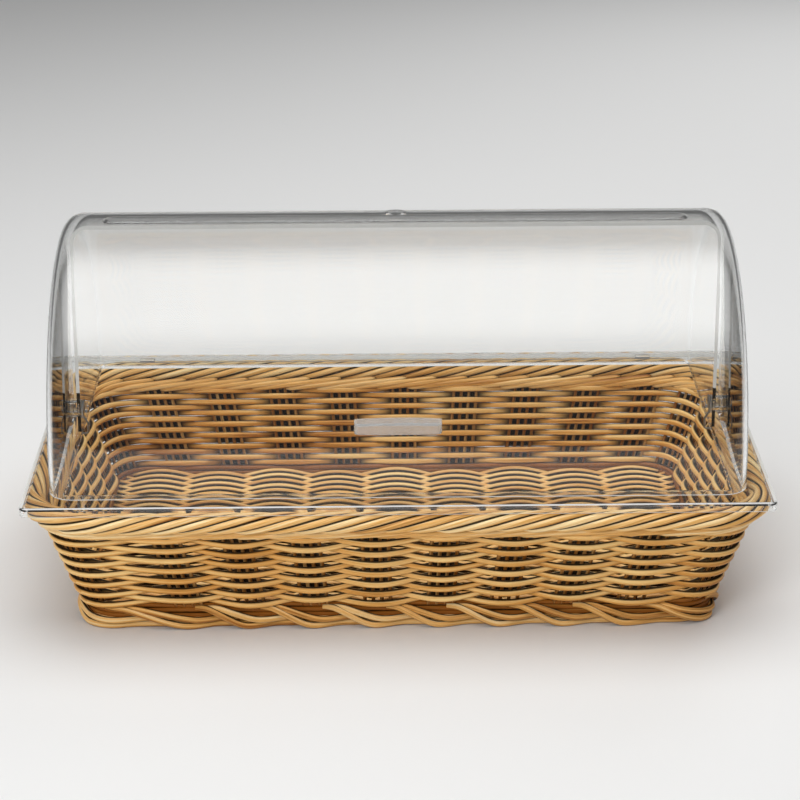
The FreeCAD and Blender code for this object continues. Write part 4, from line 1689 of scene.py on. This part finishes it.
    def stop_mesh(self, side: int) -> bpy.types.Mesh:
        """Small rounded block on which the open lid rests.

        Args:
            side: -1 on the left, 1 on the right.

        Returns:
            The block's mesh.
        """
        half_x, half_y = self.stop_half
        loops = np.array([
            rounded_loop(half_x - inset, half_y - inset, self.stop_corner,
                         self.flange_top + above) for inset, above in self.stop_loops])
        along, rear = self.stop_place
        return welded("lid_stop", capped(loops + np.array([side * along, rear, 0.0])))

    def pin_surface(self, side: int) -> Surface:
        """Turned pin: rings about the axis along a stepped profile, closed at both ends.

        Args:
            side: -1 on the left, 1 on the right.

        Returns:
            The pin's surface.
        """
        _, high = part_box("pivot_pins")
        soft, head, shaft = self.pin_soft, self.boss_radius, self.pin_radius
        tail = self.lid_reach - self.wall - self.end_gap - self.wall - self.pin_tail
        neck = high.x - self.pin_head
        x = np.array([tail, tail, tail + soft, neck, neck, neck + soft, high.x - soft, high.x,
                      high.x])
        r = np.array([self.pin_tip, shaft - soft, shaft, shaft, head - soft, head, head,
                      head - soft, self.pin_tip])
        angle = np.linspace(0, 2 * np.pi, self.pin_points + 1)[:-1]
        rings = np.stack(np.broadcast_arrays(
            side * x[:, None], r[:, None] * np.cos(angle),
            self.axis + r[:, None] * np.sin(angle)), axis=-1)
        return capped(rings, side)

    def pull_surface(self) -> Surface:
        """Finger pull: a bowed shelf with a lip and solid ends, whose back follows the lid.

        At a place x along it the front lies at low y + bow * (x / half)^2, and is drawn in by a
        quarter circle near each end. Each station's section runs up the front, back over the
        top and round the hollow behind the lip, which the end stations fill.

        Returns:
            The pull's surface.
        """
        low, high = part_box("lid_handle")
        half, corner, soft = high.x, self.pull_corner, self.pull_soft
        steps = corner * np.sin(np.linspace(0, np.pi / 2, self.pull_corner_steps))
        fill = half - self.pull_wall
        right = np.concatenate([
            np.linspace(0, half - corner, self.pull_straight_steps)[1:],
            half - corner + steps[1:], [fill - self.pull_step, fill + self.pull_step]])
        x = np.unique(np.concatenate([-right, [0.0], right]))
        past = np.clip(np.abs(x) - (half - corner), 0, corner)
        bow = self.pull_bow * (x / half) ** 2
        front = low.y + bow + corner - np.sqrt(np.maximum(corner ** 2 - past ** 2, 0))
        top, bottom = high.z - bow, np.full_like(x, low.z)
        roof, filled = top - self.pull_wall, np.abs(x) > fill

        def seat(level: Array) -> Array:
            """Where the lid's barrel lies at a level: -sqrt(radius^2 - height^2)."""
            radius = self.lid_radius + self.pull_seat
            return -np.sqrt(radius ** 2 - (level - self.axis) ** 2)

        middle, behind = (roof + bottom) / 2, front + self.pull_wall
        near = SOFT_SHARE * soft
        section = [
            (front + soft, bottom), (front, bottom + soft), (front, top - soft),
            (front + near, top - near), (front + soft, top), (seat(top), top),
            (seat(roof), roof),
            (np.where(filled, seat(middle), behind), np.where(filled, middle, roof)),
            (np.where(filled, seat(bottom), behind), bottom)]
        return capped(np.stack([np.stack([x, y, z], axis=-1) for y, z in section], axis=1))

    def clip_surface(self) -> Surface:
        """Bent spring wires: a run of bends, carried as a round section.

        Each wire starts behind its pin, bends over it, drops in front of it and ends in a short
        hook outwards.

        Returns:
            Both wires' surface.
        """
        low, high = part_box("pivot_clips")
        wire, axis = self.clip_wire, self.axis
        loop = self.pin_radius + self.pin_play + wire
        near, drop = self.clip_bend * loop, self.clip_drop * loop
        wall = self.lid_reach - 2 * self.wall - self.end_gap - self.pin_play - wire
        inside = self.window[0] - self.clip_inset
        under, hook = low.z + wire, self.clip_hook
        bends = np.array([
            (wall, loop, axis - loop / 2), (wall, loop, axis + near), (wall, near, axis + loop),
            (wall, -near, axis + loop), (wall, -loop, axis + near), (wall, -loop, axis - loop),
            (inside, -loop, axis - drop), (inside, -loop, under + hook),
            (inside + hook, -loop, under), (high.x - self.clip_play, -loop, under)])
        run = np.concatenate([[0.0], np.cumsum(np.linalg.norm(np.diff(bends, axis=0), axis=1))])
        places = np.linspace(0, run[-1], self.clip_stations)
        path = np.stack([np.interp(places, run, part) for part in bends.T], axis=-1)
        paths = np.stack([path * np.array([side, 1, 1]) for side in (-1, 1)])
        out = np.broadcast_to(np.array(self.clip_out), paths.shape)
        section = StrandSection(wire, wire, ribs=0, rib_share=0.0, points=self.clip_points)
        return strands(paths, out, section, np.zeros(paths.shape[:2]), closed=False,
                       end_share=self.clip_end)

    def build(self, base: bpy.types.Material, lid: bpy.types.Material,
              handle: bpy.types.Material, pin: bpy.types.Material,
              wire: bpy.types.Material, edge: bpy.types.Material) -> None:
        """Make the cover's pieces.

        Args:
            base: finish of the fixed shell and flange.
            lid: finish of the rolling lid.
            handle: finish of the finger pull.
            pin: finish of the pivot pins.
            wire: finish of the spring clips.
            edge: finish of the mouldings' cut and rounded edges, whose pale colour is a painted
                highlight.
        """
        shell = united("base_shell", [
            welded("rear_shell", self.base_surface()), welded("flange", self.flange_surface()),
            self.stop_mesh(-1), self.stop_mesh(1)])
        rear = new_piece("base_shell", shell, base, Body.COVER, ["cover_base"])
        light_edges(rear, edge, self.base_edges)
        even_shading(rear)
        front = new_piece("lid_shell", welded("lid_shell", self.lid_surface()), lid,
                          Body.LID, ["roll_lid"])
        light_edges(front, edge, self.lid_edges)
        pins = joined([self.pin_surface(side) for side in (-1, 1)])
        new_piece("turned_pins", welded("turned_pins", pins), pin, Body.COVER,
                  ["pivot_pins"])
        new_piece("bent_clips", mesh_from("bent_clips", self.clip_surface()), wire,
                  Body.COVER, ["pivot_clips"])
        pull = new_piece("finger_pull", welded("finger_pull", self.pull_surface()), handle,
                         Body.LID, ["lid_handle"])
        even_shading(pull)


# The studio


def level_sheet(name: str, half: tuple[float, float], place: Place,
                material: bpy.types.Material, downward: bool = False) -> bpy.types.Object:
    """A level rectangle.

    Args:
        name: name of the sheet.
        half: half of its length and width.
        place: its middle.
        material: its finish.
        downward: whether its face looks down.

    Returns:
        The new object.
    """
    corners = np.array([(-1, -1, 0), (1, -1, 0), (1, 1, 0), (-1, 1, 0)])
    points = corners * np.array([*half, 0.0]) + np.array(place)
    order = [3, 2, 1, 0] if downward else [0, 1, 2, 3]
    mesh = mesh_from(name, Surface(points, [np.array([order])]))
    mesh.materials.append(material)
    return placed(name, mesh)


def hide_from(thing: bpy.types.Object, *rays: str) -> None:
    """Hide a thing from these kinds of rays."""
    for kind in rays:
        setattr(thing, "visible_" + kind, False)


@dataclass(frozen=True)
class Lamp:
    """Square area lamp: its place, the width of its face and its level, where 1 is white."""

    name: str
    place: Place
    width: float
    level: float


@dataclass(frozen=True)
class Studio:
    """Pale floor, soft lamps and the camera at the photograph's angle."""

    target: Place = (2.64 * MM, 0.0, 123.62 * MM)
    distance: float = 1.9341
    elevation: float = 0.3539
    yaw: float = 0.0081
    roll: float = -0.0052
    lens: float = 115.56
    sensor: float = 36.0
    clip: Range = (0.05, 50.0)
    floor_half: float = 6.0
    floor_drop: float = 0.02 * MM
    floor_colour: Colour = (0.80, 0.80, 0.795)
    floor_roughness: float = 0.6
    floor_specular: float = 0.2
    ambient: float = 0.15
    lamps: tuple[Lamp, ...] = (
        Lamp("overhead", (0.0, 0.0, 1.7), 2.2, 1.95),
        Lamp("left_front", (-1.0, -1.9, 1.15), 1.0, 7.0),
        Lamp("right_rear", (1.0, 1.9, 1.15), 1.0, 3.5))
    lamp_target: Place = (0.0, 0.0, 0.12)
    # Sheet that reflections show: half sizes, place, level, and the share of its half size
    # within which it has its full level
    sheet_half: tuple[float, float] = (2.2, 1.25)
    sheet_place: Place = (0.0, -0.25, 1.6)
    sheet_level: float = 5.2
    sheet_full: float = 0.25

    def build_floor(self) -> None:
        """A flat pale floor just under the basket."""
        nodes = FinishNodes("floor_matt")
        matt = nodes.add("ShaderNodeBsdfPrincipled", {
            "Base Color": (*self.floor_colour, 1), "Roughness": self.floor_roughness,
            "Specular IOR Level": self.floor_specular})
        floor = level_sheet("studio_floor", (self.floor_half, self.floor_half),
                            (0.0, 0.0, -self.floor_drop), nodes.finish(matt.outputs["BSDF"]))

    def add_lamp(self, lamp: Lamp) -> None:
        """An area lamp that faces the basket; its power is level * pi * its face's area.

        Args:
            lamp: what to make.
        """
        light = bpy.data.lights.new(lamp.name, "AREA")
        light.shape = "RECTANGLE"
        light.size = light.size_y = lamp.width
        light.energy = lamp.level * math.pi * lamp.width * lamp.width
        holder = placed(lamp.name, light)
        holder.location = Vector(lamp.place)
        towards = Vector(self.lamp_target) - Vector(lamp.place)
        holder.rotation_euler = towards.to_track_quat("-Z", "Y").to_euler()
        hide_from(holder, "camera", "glossy", "transmission")

    def build_reflector(self) -> None:
        """A softly edged bright sheet overhead, seen in reflections alone.

        Its brightness is the product over both sides of a smooth step from each edge inward.
        """
        nodes = FinishNodes("reflector_glow")
        place = nodes.add("ShaderNodeTexCoord").outputs["Object"]
        parts = nodes.add("ShaderNodeSeparateXYZ", {"Vector": place}).outputs
        glow: object = self.sheet_level
        for name, half, middle in zip("XY", self.sheet_half, self.sheet_place):
            off = nodes.math("ABSOLUTE", nodes.math("SUBTRACT", parts[name], middle), 0.0)
            edge = nodes.mapped(off, (half, self.sheet_full * half), (0.0, 1.0), smooth=True)
            glow = nodes.math("MULTIPLY", edge, glow)
        light = nodes.add("ShaderNodeEmission", {"Strength": glow})
        sheet = level_sheet("studio_reflector", self.sheet_half, self.sheet_place,
                            nodes.finish(light.outputs["Emission"]), downward=True)
        hide_from(sheet, "camera", "diffuse", "transmission", "shadow")

    def build_light(self) -> None:
        """Soft light from overhead, the left front and the right rear, and a dim surround."""
        world = bpy.data.worlds.new("surround")
        world.use_nodes = True
        sky = world.node_tree.nodes["Background"]
        sky.inputs["Color"].default_value = (1, 1, 1, 1)
        sky.inputs["Strength"].default_value = self.ambient
        bpy.context.scene.world = world
        for lamp in self.lamps:
            self.add_lamp(lamp)

    def build_camera(self) -> None:
        """Camera whose axes follow from its elevation, yaw and roll about the target."""
        sine, cosine = math.sin(self.elevation), math.cos(self.elevation)
        forward = Vector((math.sin(self.yaw) * cosine, math.cos(self.yaw) * cosine, -sine))
        right = Vector((math.cos(self.yaw), -math.sin(self.yaw), 0.0))
        up = right.cross(forward)
        across = math.cos(self.roll) * right + math.sin(self.roll) * up
        over = -math.sin(self.roll) * right + math.cos(self.roll) * up
        data = bpy.data.cameras.new("photograph_view")
        data.lens, data.sensor_width = self.lens, self.sensor
        data.clip_start, data.clip_end = self.clip
        camera = placed("photograph_view", data)
        place = Matrix((across, over, -forward)).transposed().to_4x4()
        place.translation = Vector(self.target) - self.distance * forward
        camera.matrix_world = place
        bpy.context.scene.camera = camera

    def build(self) -> None:
        """Make the whole studio."""
        self.build_camera()
        self.build_floor()
        self.build_reflector()
        self.build_light()
        bpy.context.scene.view_settings.view_transform = "Standard"


def main() -> None:
    """Build the studio, the finishes and the pieces in order."""
    logging.basicConfig(level=logging.INFO, format="%(name)s: %(message)s")
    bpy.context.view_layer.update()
    Studio().build()
    strand = RattanFinish("rattan_strand").build()
    stake = RattanFinish("rattan_stake", middle=(0.55, 0.28, 0.09)).build()
    border = RattanFinish("rattan_border", middle=(0.80, 0.43, 0.12),
                          light=(0.98, 0.75, 0.40)).build()
    form = BasketForm()
    WovenWall(form).build(strand, stake)
    RimBorder(form).build(border)
    FootBorder(form).build(border)
    BasketFloor(form).build(strand, stake)
    RollTop().build(
        ClearFinish("clear_base").build(), ClearFinish("clear_lid").build(),
        LitEdgeFinish("clear_handle", colour=(0.97, 0.97, 0.96), through=0.8).build(),
        ClearFinish("clear_pin").build(), WireFinish("spring_wire").build(),
        LitEdgeFinish().build())


if __name__ == "__main__":
    main()
